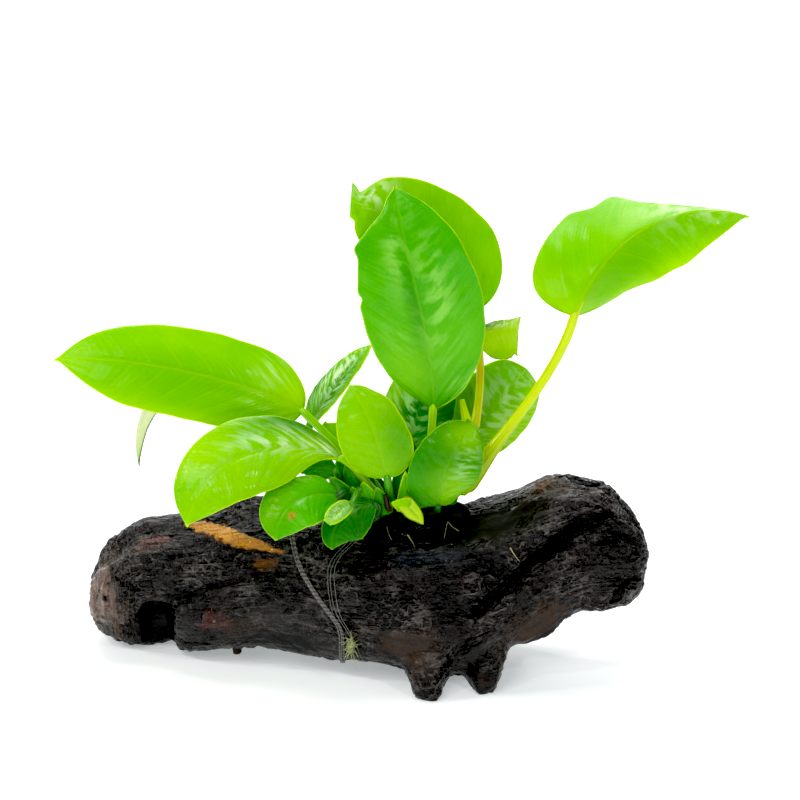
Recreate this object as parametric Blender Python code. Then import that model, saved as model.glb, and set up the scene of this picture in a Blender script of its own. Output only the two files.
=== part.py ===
"""Anubias on driftwood.

A golden dwarf anubias: a creeping rhizome with eighteen leaves, tied with thread to a dark,
gnarled piece of driftwood that stands on its own feet.

Lengths in the tables are millimetres; MM turns them into the scene's metres. X runs along the
wood, Y away from the viewer and Z up. The origin is the middle of the bounding box on the
ground.
"""

import math
from dataclasses import dataclass

import bmesh
import bpy
import numpy as np

MM = 0.001
GAP = 0.3
MIDDLE = (0.37, 0.71, 0.0)

WOOD_RINGS = 45
WOOD_SPOKES = 26
WOOD_POWER = 2.2
WOOD_RIDGES = 7
WOOD_RIDGE_HEIGHT = 0.7
WOOD_RIDGE_TWIST = 0.06
WOOD_RIDGE_WANDER = 1.2
WOOD_FULL_RADIUS = 8.0
WOOD_COLOR = (0.022, 0.016, 0.013, 1.0)

RHIZOME_RADIUS = 3.4
RHIZOME_LIFT = 0.9
RHIZOME_POINTS = 14
RHIZOME_KNOBS = 4
RHIZOME_KNOB_DEPTH = 0.06
RHIZOME_ENDS = (0.55, 0.5)
RHIZOME_COLOR = (0.16, 0.17, 0.03, 1.0)

BLADE_THICKNESS = 0.8
BLADE_COLOR = (0.16, 0.42, 0.02, 1.0)
STEM_COLOR = (0.42, 0.55, 0.02, 1.0)
STEM_POINTS = 9
STEM_SLENDER = 0.92
SHEATH_PLACE = 0.12
SHEATH_REACH = 0.18
SHEATH_SWELL = 0.25
SHOOT_POINTS = 7
STUB_COLOR = (0.2, 0.11, 0.04, 1.0)

THREAD_POINTS = 56
THREAD_LIFT = 0.75
THREAD_HARMONICS = 9
THREAD_COLOR = (0.03, 0.028, 0.026, 1.0)
KNOT_RADIUS = 1.7
KNOT_FORM = (0.75, 0.8, 1.3)
KNOT_COLOR = (0.45, 0.5, 0.2, 1.0)

# Along the wood: x, y of the middle, z of the middle, half depth, half height.
WOOD_STATIONS = (
    (-87.3, 15.0, 13.5, 0.0, 0.0),
    (-86.0, 15.0, 13.8, 8.0, 6.5),
    (-82.5, 15.0, 15.0, 13.5, 11.8),
    (-77.0, 15.0, 16.0, 16.5, 15.6),
    (-70.0, 14.5, 17.3, 17.5, 17.4),
    (-60.0, 13.0, 18.5, 18.0, 17.3),
    (-50.0, 10.5, 20.5, 18.5, 18.3),
    (-40.0, 8.0, 22.5, 20.0, 20.3),
    (-28.0, 5.5, 22.6, 20.5, 20.8),
    (-15.0, 2.5, 22.0, 21.5, 21.0),
    (-2.0, 1.2, 21.8, 22.0, 21.0),
    (10.0, 0.0, 22.8, 22.0, 20.8),
    (21.0, -0.5, 24.4, 20.5, 20.5),
    (31.0, -1.2, 27.8, 18.5, 20.7),
    (40.0, -2.0, 32.0, 17.0, 21.3),
    (48.0, -2.5, 34.8, 16.0, 19.0),
    (55.0, -3.0, 34.8, 15.0, 17.3),
    (61.0, -3.0, 33.5, 12.5, 13.3),
    (65.0, -3.0, 32.8, 9.0, 8.0),
    (66.8, -3.0, 32.6, 4.5, 3.8),
    (67.4, -3.0, 32.5, 0.0, 0.0),
)

# Lumps (+) and hollows (-) of the wood: name, x, degrees round it (0 is the back, 90 up, 180
# the front, 270 down), reach along x, reach in degrees, height, and power, where 2 is a bell and
# 4 has a flat top and steep sides.
WOOD_LUMPS = (
    ("left hollow", -71.0, 203.0, 6.5, 24.0, -4.5, 2),
    ("deep end of the hollow", -66.6, 210.0, 3.8, 30.0, -6.0, 4),
    ("second lump", -52.0, 212.0, 10.8, 36.0, 2.5, 4),
    ("left heel", -71.0, 268.0, 7.0, 24.0, 1.6, 2),
    ("front knee", 15.0, 226.0, 16.0, 30.0, 4.5, 2),
    ("front foot", 7.2, 228.0, 4.6, 20.0, 10.0, 4),
    ("right foot", 23.6, 236.0, 4.8, 19.0, 9.5, 4),
    ("back heel", 19.0, 300.0, 8.0, 20.0, 10.5, 2),
    ("hollow below", -18.0, 284.0, 14.0, 34.0, -4.0, 2),
    ("shelf below", 37.5, 246.0, 5.2, 30.0, 2.2, 4),
    ("end ledge", 63.0, 215.0, 4.0, 24.0, 1.5, 2),
)

# The rhizome's axis over the wood: x and y; its height follows the wood below it.
RHIZOME_LINE = ((-18.0, -8.0), (-9.0, -7.4), (0.0, -6.0), (9.0, -4.4), (18.5, -3.0))

# The thread's rise where it crosses the rhizome: degrees, reach in degrees, height.
THREAD_HUMP = (109.0, 11.0, 9.6)

# The knot's place: x and degrees round the wood.
KNOT_PLACE = (-12.9, 204.0)


@dataclass
class Leaf:
    """One leaf: where its stem leaves the rhizome, its midrib, and the form of its blade.

    root: place along x and degrees round the rhizome (0 back, 90 up, 180 front).
    bends: the stem's two inner Bezier corners.
    midrib: the four Bezier corners from the blade's base to its tip.
    face: the way that the upper side faces.
    shoulder, point, drawn: how round the base is, how full the outer half is, and how long the
    tip is drawn out.
    left_fold, right_fold: the rise of each half from the midrib, at the base and at the tip.
    """

    name: str
    root: tuple
    bends: tuple
    midrib: tuple
    width: float
    face: tuple
    shoulder: float = 0.55
    point: float = 0.75
    drawn: float = 0.03
    cup: float = 0.0
    left_fold: tuple = (0.0, 0.0)
    right_fold: tuple = (0.0, 0.0)
    ruffle: float = 0.0
    tip_width: float = 0.03
    left: float = 1.0
    right: float = 1.0
    stem_width: float = 2.4
    rows: int = 11
    columns: int = 7


@dataclass
class Thread:
    """A binding thread: its radius, and its turn as degrees round the wood and x there."""

    name: str
    radius: float
    over_rhizome: bool
    turns: tuple


LEAVES = (
    Leaf("far_left", (-5.0, 90.0), ((-8.0, -5.0, 57.0), (-19.0, -3.4, 66.0)),
         ((-26.0, -3.0, 73.5), (-37.0, -6.0, 82.0), (-72.0, -9.0, 92.0), (-91.3, -6.0, 88.8)),
         24.8, (0.1, -0.85, 0.5), shoulder=0.5, point=0.6, drawn=0.12, cup=-0.12),
    Leaf("lower_left", (-6.6, 126.0), ((-6.6, -10.8, 53.0), (-10.8, -10.2, 60.2)),
         ((-15.5, -10.5, 62.8), (-28.0, -16.0, 70.0), (-51.0, -26.0, 73.0), (-55.3, -30.0, 50.8)),
         22.0, (-0.1, -0.8, 0.6), shoulder=0.85, point=0.65, cup=-0.1),
    Leaf("front_spotted", (-14.6, 130.0), ((-14.6, -12.2, 52.5), (-13.2, -14.5, 56.6)),
         ((-16.5, -17.0, 54.6), (-23.0, -22.0, 58.0), (-31.6, -27.0, 57.6),
          (-32.4, -28.0, 46.2)),
         17.0, (-0.1, -0.75, 0.65), shoulder=0.6, point=0.6, rows=10, columns=5),
    Leaf("front_dark", (-6.8, 172.0), ((-6.8, -12.2, 46.0), (-4.6, -12.8, 49.2)),
         ((-6.5, -14.0, 51.0), (-12.0, -16.5, 51.6), (-19.3, -19.5, 48.0), (-17.9, -21.0, 40.9)),
         15.0, (0.0, -0.8, 0.6), shoulder=0.6, point=0.6, right_fold=(-0.5, -0.3), right=0.6,
         rows=10, columns=5),
    Leaf("small_round", (-16.3, 98.0), ((-17.0, -8.0, 54.0), (-15.2, -8.0, 57.8)),
         ((-17.5, -9.5, 58.9), (-20.0, -10.0, 60.2), (-23.5, -10.5, 60.4), (-26.5, -11.0, 59.4)),
         7.0, (0.0, -0.9, 0.4), tip_width=0.3, stem_width=1.8, rows=8, columns=5),
    Leaf("small_rolled", (-11.8, 122.0), ((-11.4, -10.5, 55.5), (-9.6, -16.5, 58.5)),
         ((-12.8, -23.0, 54.5), (-14.8, -24.9, 54.2), (-17.0, -27.2, 53.2), (-19.0, -29.0, 51.5)),
         4.9, (0.1, -0.8, 0.6), shoulder=0.4, point=0.35, cup=0.25, tip_width=0.5,
         stem_width=1.6, rows=8, columns=5),
    Leaf("narrow_back", (-12.6, 62.0), ((-14.5, -2.0, 53.0), (-28.0, 5.0, 58.0)),
         ((-24.4, 8.0, 66.6), (-20.8, 10.0, 73.0), (-13.0, 13.0, 81.3), (-7.6, 15.0, 86.8)),
         11.5, (-0.8, -0.55, 0.3), shoulder=0.5, left_fold=(0.2, 0.2), right_fold=(0.2, 0.2),
         rows=10, columns=5),
    Leaf("centre_left", (-2.3, 125.0), ((-2.4, -11.0, 52.0), (-3.0, -12.0, 54.5)),
         ((-3.4, -12.0, 57.9), (-4.5, -13.0, 64.4), (-8.5, -11.5, 76.8), (-13.2, -7.5, 82.4)),
         19.5, (-0.1, -0.95, 0.3), shoulder=0.5, point=0.6, cup=0.06),
    Leaf("tall_front", (7.5, 98.0), ((7.5, -6.0, 58.0), (8.4, -3.5, 66.0)),
         ((8.8, -4.0, 74.6), (9.5, -8.0, 93.0), (1.5, -9.0, 116.0), (-1.4, 0.0, 134.4)),
         33.5, (0.0, -1.0, 0.15), shoulder=0.72, cup=0.04, ruffle=0.6, left=0.93),
    Leaf("tall_back", (14.6, 66.0), ((22.0, 4.0, 66.0), (24.0, 12.5, 84.0)),
         ((19.0, 11.5, 97.0), (19.5, 9.0, 110.0), (1.0, 7.0, 122.5), (-13.0, 5.0, 129.5)),
         30.5, (0.1, -0.95, 0.3), shoulder=0.62, point=0.6, cup=0.03, tip_width=0.25,
         left=0.92),
    Leaf("right_cut", (10.6, 36.0), ((8.0, 12.0, 53.0), (14.0, 20.0, 74.0)),
         ((20.8, 21.0, 87.6), (24.0, 21.5, 88.2), (28.5, 22.0, 88.9), (32.3, 22.0, 89.6)),
         12.0, (0.1, -0.95, 0.3), shoulder=0.8, point=0.3, left_fold=(-0.6, -0.6),
         right_fold=(-0.2, -0.2), tip_width=1.0, left=0.55, right=1.45, stem_width=2.0,
         rows=8, columns=5),
    Leaf("right_middle", (16.8, 46.0), ((17.0, 4.0, 51.0), (14.6, 7.4, 53.6)),
         ((16.4, 8.5, 57.0), (19.8, 11.0, 63.0), (28.5, 14.0, 73.0), (34.7, 15.0, 79.8)),
         21.0, (0.15, -0.9, 0.4), shoulder=0.5, point=0.5, tip_width=0.2),
    Leaf("centre_right", (9.6, 150.0), ((9.8, -9.5, 48.6), (10.2, -12.0, 47.8)),
         ((10.2, -12.6, 50.2), (9.6, -16.5, 57.0), (13.0, -16.0, 66.0), (20.0, -13.0, 72.2)),
         19.0, (-0.05, -0.95, 0.3), shoulder=0.3, point=0.42, tip_width=0.25, cup=-0.05,
         stem_width=2.0),
    Leaf("centre_dark", (3.8, 66.0), ((3.9, -2.5, 51.5), (2.8, 2.0, 53.5)),
         ((2.6, 3.0, 57.0), (2.0, 5.0, 65.0), (7.0, 8.0, 78.0), (12.5, 11.0, 86.0)),
         19.5, (-0.05, -0.95, 0.3), shoulder=0.5, point=0.6),
    Leaf("peeking_left", (-3.0, 60.0), ((-3.6, -2.0, 51.5), (-6.5, -1.5, 54.5)),
         ((-8.5, -0.5, 57.0), (-11.5, 1.5, 61.0), (-16.5, 4.0, 64.0), (-21.0, 5.0, 67.2)),
         9.5, (0.3, -0.85, 0.4), tip_width=0.25, stem_width=1.8, rows=8, columns=5),
    Leaf("new_shoot", (4.4, 165.0), ((4.5, -11.5, 46.6), (-1.5, -12.5, 52.0)),
         ((-0.5, -14.5, 52.0), (1.5, -16.5, 52.4), (4.2, -18.0, 50.2), (6.2, -19.0, 47.2)),
         4.6, (0.1, -0.8, 0.6), stem_width=1.4, rows=8, columns=5),
    Leaf("far_right", (16.8, 108.0), ((23.0, -4.4, 63.5), (41.5, -2.0, 81.0)),
         ((46.0, -2.0, 99.5), (50.0, -4.0, 113.0), (64.0, -4.0, 134.5), (92.0, 4.0, 125.2)),
         34.0, (-0.05, -0.9, 0.4), shoulder=0.38, point=0.6, drawn=0.04,
         left_fold=(0.1, -2.4), right_fold=(-1.7, 0.2), left=1.26, right=0.93,
         stem_width=2.8),
    Leaf("back_drooping", (-15.6, 36.0), ((-18.5, 3.5, 47.0), (-29.0, 13.5, 58.0)),
         ((-38.0, 14.0, 69.0), (-50.0, 20.0, 80.0), (-76.0, 25.0, 77.0), (-73.5, 26.0, 47.5)),
         13.0, (-0.5, -0.6, 0.6), left_fold=(-0.3, -0.3), right_fold=(-0.3, -0.3), rows=10,
         columns=5),
)

# A leaf still rolled up, and the stub of a leaf that fell: root, then path points and widths.
SHORT_SHOOTS = (
    ("rolled_shoot", (11.4, 96.0), ((15.0, -3.0, 58.0), (18.0, -1.0, 66.5), (16.6, 1.0, 75.5)),
     (1.6, 2.4, 2.8, 0.6), STEM_COLOR),
    ("old_stub", (-2.6, 160.0), ((-3.2, -13.0, 49.8), (-3.9, -13.8, 53.6)),
     (2.0, 1.6, 1.3), STUB_COLOR),
)

THREADS = (
    Thread("thread_band", 0.7, False,
           ((0, -26), (45, -30), (90, -31), (131, -29), (148, -27), (161, -25), (177, -19.5),
            (192, -16), (204, -15.4), (220, -15.6), (240, -15.6), (270, -17), (315, -22))),
    Thread("thread_line", 0.35, True,
           ((0, -2), (60, -7), (90, -10.2), (98, -10.2), (104, -10.0), (111, -9.6), (118, -9.6),
            (126, -12.2), (137, -16.6), (158, -18.6), (177, -16.8), (188, -14), (204, -10.7),
            (212, -10.2), (240, -9), (270, -8), (315, -5))),
)


def hermite(table, count):
    """Return `count` rows read along a smooth curve through the rows of `table`."""
    rows = np.asarray(table, dtype=float)
    slopes = np.gradient(rows, axis=0)
    where = np.linspace(0.0, len(rows) - 1.0, count)
    step = np.clip(where.astype(int), 0, len(rows) - 2)
    t = (where - step)[:, None]
    return ((1 + 2 * t) * (1 - t) ** 2 * rows[step] + t * (1 - t) ** 2 * slopes[step]
            + t ** 2 * (3 - 2 * t) * rows[step + 1] + t ** 2 * (t - 1) * slopes[step + 1])


def wood_radius(x, angle, half_depth, half_height):
    """Return the wood's radius at x and angle.

    It is a rounded oval, to which each lump adds a soft hill round its place and low ridges
    run along the wood in a slow twist. Both fade out where the ends close.
    """
    power = WOOD_POWER
    depth = np.maximum(half_depth, 1e-6)
    height = np.maximum(half_height, 1e-6)
    oval = (np.abs(np.cos(angle) / depth) ** power
            + np.abs(np.sin(angle) / height) ** power) ** (-1.0 / power)
    body = np.clip(oval / WOOD_FULL_RADIUS, 0.0, 1.0)
    lumps = np.zeros_like(oval)
    for _, at_x, at_angle, reach_x, reach_angle, height_there, steep in WOOD_LUMPS:
        turn = np.abs((np.degrees(angle) - at_angle + 180.0) % 360.0 - 180.0)
        away = (np.abs(x - at_x) / reach_x) ** steep + (turn / reach_angle) ** steep
        lumps += height_there * np.exp(-away)
    turned = WOOD_RIDGE_TWIST * x + WOOD_RIDGE_WANDER * np.sin(0.05 * x)
    ridges = np.cos(WOOD_RIDGES * angle + turned)
    return oval + body * (lumps + WOOD_RIDGE_HEIGHT * ridges)


def wood_point(x, angle, lift=0.0):
    """Return points on the wood for arrays of x and angle, moved out by `lift`."""
    rings = hermite(WOOD_STATIONS, 400)
    middle_y, middle_z, depth, height = (np.interp(x, rings[:, 0], rings[:, column])
                                         for column in range(1, 5))
    radius = wood_radius(x, angle, depth, height) + lift
    return np.stack([x, middle_y + radius * np.cos(angle),
                     middle_z + radius * np.sin(angle)], axis=-1)


def wood_top(x, y):
    """Return the height of the wood's upper side at x and y."""
    angles = np.radians(np.linspace(30.0, 160.0, 400))
    ring = wood_point(np.full_like(angles, x), angles)
    order = np.argsort(ring[:, 1])
    return float(np.interp(y, ring[order, 1], ring[order, 2]))


def place(points):
    """Return points given in millimetres as the scene's coordinates."""
    return (np.asarray(points, dtype=float) - np.asarray(MIDDLE)) * MM


def material(name, color, roughness):
    """Return a Principled material."""
    made = bpy.data.materials.new(name)
    made.use_nodes = True
    shader = made.node_tree.nodes["Principled BSDF"]
    shader.inputs["Base Color"].default_value = color
    shader.inputs["Roughness"].default_value = roughness
    shader.inputs["Metallic"].default_value = 0.0
    return made


def add_mesh(name, points, faces, color, roughness):
    """Make one closed object from points and faces, with its normals outwards."""
    mesh = bpy.data.meshes.new(name)
    mesh.from_pydata(place(points).tolist(), [], faces)
    shell = bmesh.new()
    shell.from_mesh(mesh)
    bmesh.ops.recalc_face_normals(shell, faces=shell.faces)
    bmesh.ops.triangulate(shell, faces=shell.faces)
    shell.to_mesh(mesh)
    shell.free()
    mesh.shade_smooth()
    mesh.materials.append(material(name, color, roughness))
    thing = bpy.data.objects.new(name, mesh)
    bpy.context.collection.objects.link(thing)
    return thing


def tube(name, path, radii, color, roughness, resolution, closed=False):
    """Make a tube along a path as a bevelled curve; an open one has filled caps."""
    curve = bpy.data.curves.new(name, "CURVE")
    curve.dimensions = "3D"
    curve.bevel_depth = MM
    curve.bevel_resolution = resolution
    curve.use_fill_caps = not closed
    spline = curve.splines.new("POLY")
    spline.points.add(len(path) - 1)
    for point, at, radius in zip(spline.points, place(path), radii):
        point.co = (*at, 1.0)
        point.radius = radius
    spline.use_cyclic_u = closed
    spline.use_smooth = True
    curve.materials.append(material(name, color, roughness))
    thing = bpy.data.objects.new(name, curve)
    bpy.context.collection.objects.link(thing)
    return thing


def driftwood():
    """The wood: rings of a lumpy oval carried along its length, flat where it stands."""
    rings = hermite(WOOD_STATIONS, WOOD_RINGS)
    angles = np.linspace(0.0, 2.0 * math.pi, WOOD_SPOKES, endpoint=False)
    x = np.repeat(rings[:, 0:1], WOOD_SPOKES, axis=1)
    angle = np.repeat(angles[None, :], WOOD_RINGS, axis=0)
    radius = wood_radius(x, angle, rings[:, 3:4], rings[:, 4:5])
    grid = np.stack([x, rings[:, 1:2] + radius * np.cos(angle),
                     rings[:, 2:3] + radius * np.sin(angle)], axis=-1)
    grid[..., 2] = np.maximum(grid[..., 2], 0.0)
    points = [tuple(point) for point in grid[1:-1].reshape(-1, 3)]
    points += [tuple(rings[0, :3]), tuple(rings[-1, :3])]
    left, right = len(points) - 2, len(points) - 1
    last = (WOOD_RINGS - 3) * WOOD_SPOKES
    faces = []
    for spoke in range(WOOD_SPOKES):
        after = (spoke + 1) % WOOD_SPOKES
        faces.append((left, after, spoke))
        faces.append((right, last + spoke, last + after))
        for here in range(0, last, WOOD_SPOKES):
            above = here + WOOD_SPOKES
            faces.append((here + spoke, here + after, above + after, above + spoke))
    return add_mesh("driftwood", points, faces, WOOD_COLOR, 0.4)


def rhizome_axis(count):
    """Return points along the rhizome's axis, resting just above the wood."""
    line = hermite(RHIZOME_LINE, count)
    heights = [wood_top(x, y) + RHIZOME_RADIUS + RHIZOME_LIFT for x, y in line]
    smooth = np.convolve(np.pad(heights, 2, mode="edge"), np.ones(5) / 5.0, mode="valid")
    return np.column_stack([line, smooth])


def rhizome():
    """The creeping stem: a knobbly rod with narrowed ends along the top of the wood."""
    along = np.linspace(0.0, 1.0, RHIZOME_POINTS)
    knobs = np.cos(2.0 * math.pi * RHIZOME_KNOBS * along) - 1.0
    radii = RHIZOME_RADIUS * (1.0 + RHIZOME_KNOB_DEPTH * knobs)
    radii[0] *= RHIZOME_ENDS[0]
    radii[-1] *= RHIZOME_ENDS[1]
    return tube("rhizome", rhizome_axis(RHIZOME_POINTS), radii, RHIZOME_COLOR, 0.6, 2)


def clearance(radius, way, square_to):
    """Return how far a tube's flat end stands back from a face that it meets at a slant."""
    toward = np.asarray(way, dtype=float) / np.linalg.norm(way)
    return GAP + radius * float(np.linalg.norm(np.cross(toward, square_to)))


def rhizome_root(root, after, radius):
    """Return the place clear of the rhizome, at x and degrees round it, for a tube to `after`."""
    axis = rhizome_axis(60)
    x, degrees = root
    y, z = (float(np.interp(x, axis[:, 0], axis[:, column])) for column in (1, 2))
    angle = math.radians(degrees)
    out = np.array([0.0, math.cos(angle), math.sin(angle)])
    foot = np.array([x, y, z]) + out * RHIZOME_RADIUS
    return foot + out * clearance(radius, np.asarray(after) - foot, out)


def bezier(corners, t):
    """Return the points and unit tangents of a cubic Bezier curve at an array of places."""
    a, b, c, d = (np.asarray(corner, dtype=float) for corner in corners)
    t = np.asarray(t)[:, None]
    points = (1 - t) ** 3 * a + 3 * t * (1 - t) ** 2 * b + 3 * t ** 2 * (1 - t) * c + t ** 3 * d
    ways = (1 - t) ** 2 * (b - a) + 2 * t * (1 - t) * (c - b) + t ** 2 * (d - c)
    return points, ways / np.linalg.norm(ways, axis=1, keepdims=True)


def half_width(leaf, along):
    """Return the blade's half width along the midrib: round shoulders, drawn out to a tip."""
    belly = leaf.shoulder / (leaf.shoulder + leaf.point)
    shape = (along / belly) ** leaf.shoulder * ((1.0 - along) / (1.0 - belly)) ** leaf.point
    shape = shape * (1.0 - np.exp(-(1.0 - along) / leaf.drawn))
    base_width = leaf.stem_width / leaf.width
    least = base_width + (leaf.tip_width - base_width) * along
    return 0.5 * leaf.width * np.maximum(shape, least)


def blade_surface(leaf, along, across):
    """Return the blade's middle surface and its normals on the grid along x across.

    The midrib is a Bezier curve. At each place on it the blade reaches out sideways by the
    half width, folds along the midrib, cups towards its edges and waves at its margin.
    """
    spine, way = bezier(leaf.midrib, along)
    side = np.cross(way, np.asarray(leaf.face, dtype=float))
    side /= np.linalg.norm(side, axis=1, keepdims=True)
    up = np.cross(side, way)
    reach = half_width(leaf, along)[:, None] * across[None, :]
    reach = reach * np.where(across < 0.0, leaf.left, leaf.right)[None, :]
    left = leaf.left_fold[0] + (leaf.left_fold[1] - leaf.left_fold[0]) * along
    right = leaf.right_fold[0] + (leaf.right_fold[1] - leaf.right_fold[0]) * along
    fold = np.arctan(np.where(across[None, :] < 0.0, left[:, None], right[:, None]))
    rise = np.abs(reach) * np.sin(fold) + leaf.cup * reach ** 2 / (0.5 * leaf.width)
    rise += leaf.ruffle * np.abs(across[None, :]) ** 3 * np.sin(9.0 * along[:, None] + across)
    grid = (spine[:, None, :] + side[:, None, :] * (reach * np.cos(fold))[..., None]
            + up[:, None, :] * rise[..., None])
    normal = np.cross(np.gradient(grid, axis=1), np.gradient(grid, axis=0))
    return grid, normal / np.linalg.norm(normal, axis=2, keepdims=True)


def blade(leaf):
    """The blade of a leaf: a closed plate round the middle surface, rows along the midrib."""
    rows, columns = leaf.rows, leaf.columns
    even = np.linspace(0.0, 1.0, rows)
    along = 0.4 * even + 0.3 * (1.0 - np.cos(math.pi * even))
    grid, normal = blade_surface(leaf, along, np.linspace(-1.0, 1.0, columns))
    half = 0.5 * BLADE_THICKNESS
    sides = np.concatenate([(grid + normal * half).reshape(-1, 3),
                            (grid - normal * half).reshape(-1, 3)])
    below = rows * columns
    faces = []
    for row in range(rows - 1):
        for here in range(row * columns, (row + 1) * columns - 1):
            above = here + columns
            faces.append((here, here + 1, above + 1, above))
            faces.append((below + here, below + above, below + above + 1, below + here + 1))
    rim = list(range(columns))
    rim += [row * columns + columns - 1 for row in range(1, rows)]
    rim += [(rows - 1) * columns + column for column in range(columns - 2, -1, -1)]
    rim += [row * columns for row in range(rows - 2, 0, -1)]
    for here, after in zip(rim, rim[1:] + rim[:1]):
        faces.append((here, below + here, below + after, after))
    return add_mesh("leaf_" + leaf.name, sides, faces, BLADE_COLOR, 0.35)


def stem(leaf):
    """The stem of a leaf: a slender tube, wider where its sheath clasps the rhizome."""
    radius = 0.5 * leaf.stem_width
    base, toward = (rows[0] for rows in bezier(leaf.midrib, [0.0]))
    back = clearance(radius, base - leaf.bends[1], toward)
    corners = (rhizome_root(leaf.root, leaf.bends[0], radius), *leaf.bends, base - toward * back)
    along = np.linspace(0.0, 1.0, STEM_POINTS)
    path = bezier(corners, along)[0]
    sheath = np.exp(-((along - SHEATH_PLACE) / SHEATH_REACH) ** 2)
    radii = radius * (STEM_SLENDER + SHEATH_SWELL * sheath)
    return tube("stem_" + leaf.name, path, radii, STEM_COLOR, 0.4, 1)


def short_shoot(name, root, points, widths, color):
    """A rolled young leaf or an old stub: a tapered tube from the rhizome."""
    corners = [tuple(rhizome_root(root, points[0], 0.5 * widths[0])), *points]
    table = np.column_stack([np.asarray(corners), np.asarray(widths)])
    rows = hermite(table, SHOOT_POINTS)
    return tube(name, rows[:, :3], 0.5 * rows[:, 3], color, 0.5, 1)


def thread(line):
    """A binding thread: one closed loop round the wood, and over the rhizome if it holds it."""
    angle = np.linspace(0.0, 2.0 * math.pi, THREAD_POINTS, endpoint=False)
    degrees = np.degrees(angle)
    corners = np.array(line.turns + ((360.0, line.turns[0][1]),), dtype=float)
    waves = np.fft.fft(np.interp(degrees, corners[:, 0], corners[:, 1]))
    waves[np.abs(np.fft.fftfreq(THREAD_POINTS, 1.0 / THREAD_POINTS)) > THREAD_HARMONICS] = 0.0
    x = np.real(np.fft.ifft(waves))
    at, reach, height = THREAD_HUMP
    hump = line.over_rhizome * height * np.exp(-((degrees - at) / reach) ** 2)
    path = wood_point(x, angle, hump + THREAD_LIFT + line.radius)
    radii = np.full(THREAD_POINTS, line.radius)
    return tube(line.name, path, radii, THREAD_COLOR, 0.5, 0, closed=True)


def thread_knot():
    """The knot: a small rounded lump on the front of the wood, low down."""
    x, degrees = KNOT_PLACE
    lift = THREAD_LIFT + KNOT_RADIUS
    middle = wood_point(np.array([x]), np.array([math.radians(degrees)]), lift)[0]
    ball = bmesh.new()
    bmesh.ops.create_icosphere(ball, subdivisions=2, radius=KNOT_RADIUS)
    points = [tuple(np.asarray(vert.co) * KNOT_FORM + middle) for vert in ball.verts]
    faces = [tuple(vert.index for vert in face.verts) for face in ball.faces]
    ball.free()
    return add_mesh("thread_knot", points, faces, KNOT_COLOR, 0.7)


def build():
    """Clear the scene and make every piece."""
    for thing in list(bpy.data.objects):
        bpy.data.objects.remove(thing, do_unlink=True)
    driftwood()
    rhizome()
    for leaf in LEAVES:
        blade(leaf)
        stem(leaf)
    for name, root, points, widths, color in SHORT_SHOOTS:
        short_shoot(name, root, points, widths, color)
    for line in THREADS:
        thread(line)
    thread_knot()


build()
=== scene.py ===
"""The looks of an anubias on driftwood: a golden dwarf anubias tied to a dark, wet log.

Lengths in the tables are millimetres in the plant's own frame, and ``placed`` turns them into
the scene's metres. X runs along the wood, Y away from the viewer and Z up. A place on the wood
is given as x and degrees round it: 0 is the back, 90 up, 180 the front and 270 down.
"""
import logging
import math
from dataclasses import dataclass, field
from enum import Enum

import bpy
import numpy as np
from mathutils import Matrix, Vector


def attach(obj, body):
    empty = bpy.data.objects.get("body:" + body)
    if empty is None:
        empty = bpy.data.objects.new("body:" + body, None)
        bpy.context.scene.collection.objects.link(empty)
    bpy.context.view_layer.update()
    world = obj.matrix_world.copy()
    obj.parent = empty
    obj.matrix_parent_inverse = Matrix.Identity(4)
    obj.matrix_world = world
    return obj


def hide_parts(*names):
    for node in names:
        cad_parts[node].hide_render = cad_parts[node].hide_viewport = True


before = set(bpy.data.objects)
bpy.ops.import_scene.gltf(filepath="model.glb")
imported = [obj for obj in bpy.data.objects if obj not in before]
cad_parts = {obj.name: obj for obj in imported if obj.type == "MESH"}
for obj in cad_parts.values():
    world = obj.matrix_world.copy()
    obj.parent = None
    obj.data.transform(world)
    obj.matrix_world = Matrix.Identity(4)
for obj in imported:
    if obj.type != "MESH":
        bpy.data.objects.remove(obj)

LOG = logging.getLogger("anubias")

MM = 0.001
MIDDLE = (0.37, 0.71, 0.0)
NOISE_TABLE = 256
NOISE_GAIN = 1.6
FULL_TURN = 2.0 * math.pi
COOL_WHITE = (0.95, 1.0, 1.0, 1.0)

Array = np.ndarray
Socket = bpy.types.NodeSocket
Color = tuple[float, float, float, float]
Place = tuple[float, ...]
Numbers = tuple[float, ...]
Table = tuple[Numbers, ...]


def paint(red: float, green: float, blue: float) -> Color:
    """Return a colour given on the usual 0 to 255 scale as linear light.

    Args:
        red, green, blue: the screen values.

    Returns:
        The linear colour with full alpha.
    """
    screen = np.array([red, green, blue]) / 255.0
    linear = np.where(screen <= 0.04045, screen / 12.92, ((screen + 0.055) / 1.055) ** 2.4)
    return (*(float(value) for value in linear), 1.0)


def placed(points: Array) -> Array:
    """Return points given in millimetres as the scene's coordinates."""
    return (np.asarray(points, dtype=float) - np.asarray(MIDDLE)) * MM


def unit(vectors: Array) -> Array:
    """Return vectors scaled to length one."""
    return vectors / np.maximum(np.linalg.norm(vectors, axis=-1, keepdims=True), 1e-9)


def soft_step(low: float, high: float, values: Array) -> Array:
    """Return 0 below `low`, 1 above `high` and a smooth rise t * t * (3 - 2 t) between."""
    t = np.clip((values - low) / (high - low), 0.0, 1.0)
    return t * t * (3.0 - 2.0 * t)


def hill(distance: Array, reach: float) -> Array:
    """Return the bell exp(-(distance / reach) squared)."""
    return np.exp(-(distance / reach) ** 2)


def circle(spokes: int) -> Array:
    """Return even angles round a full turn."""
    return np.linspace(0.0, FULL_TURN, spokes, endpoint=False)


def stacked(*parts: Array | float) -> Array:
    """Return arrays, spread to one shape, as the channels of one array."""
    return np.stack(np.broadcast_arrays(*parts), axis=-1)


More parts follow.
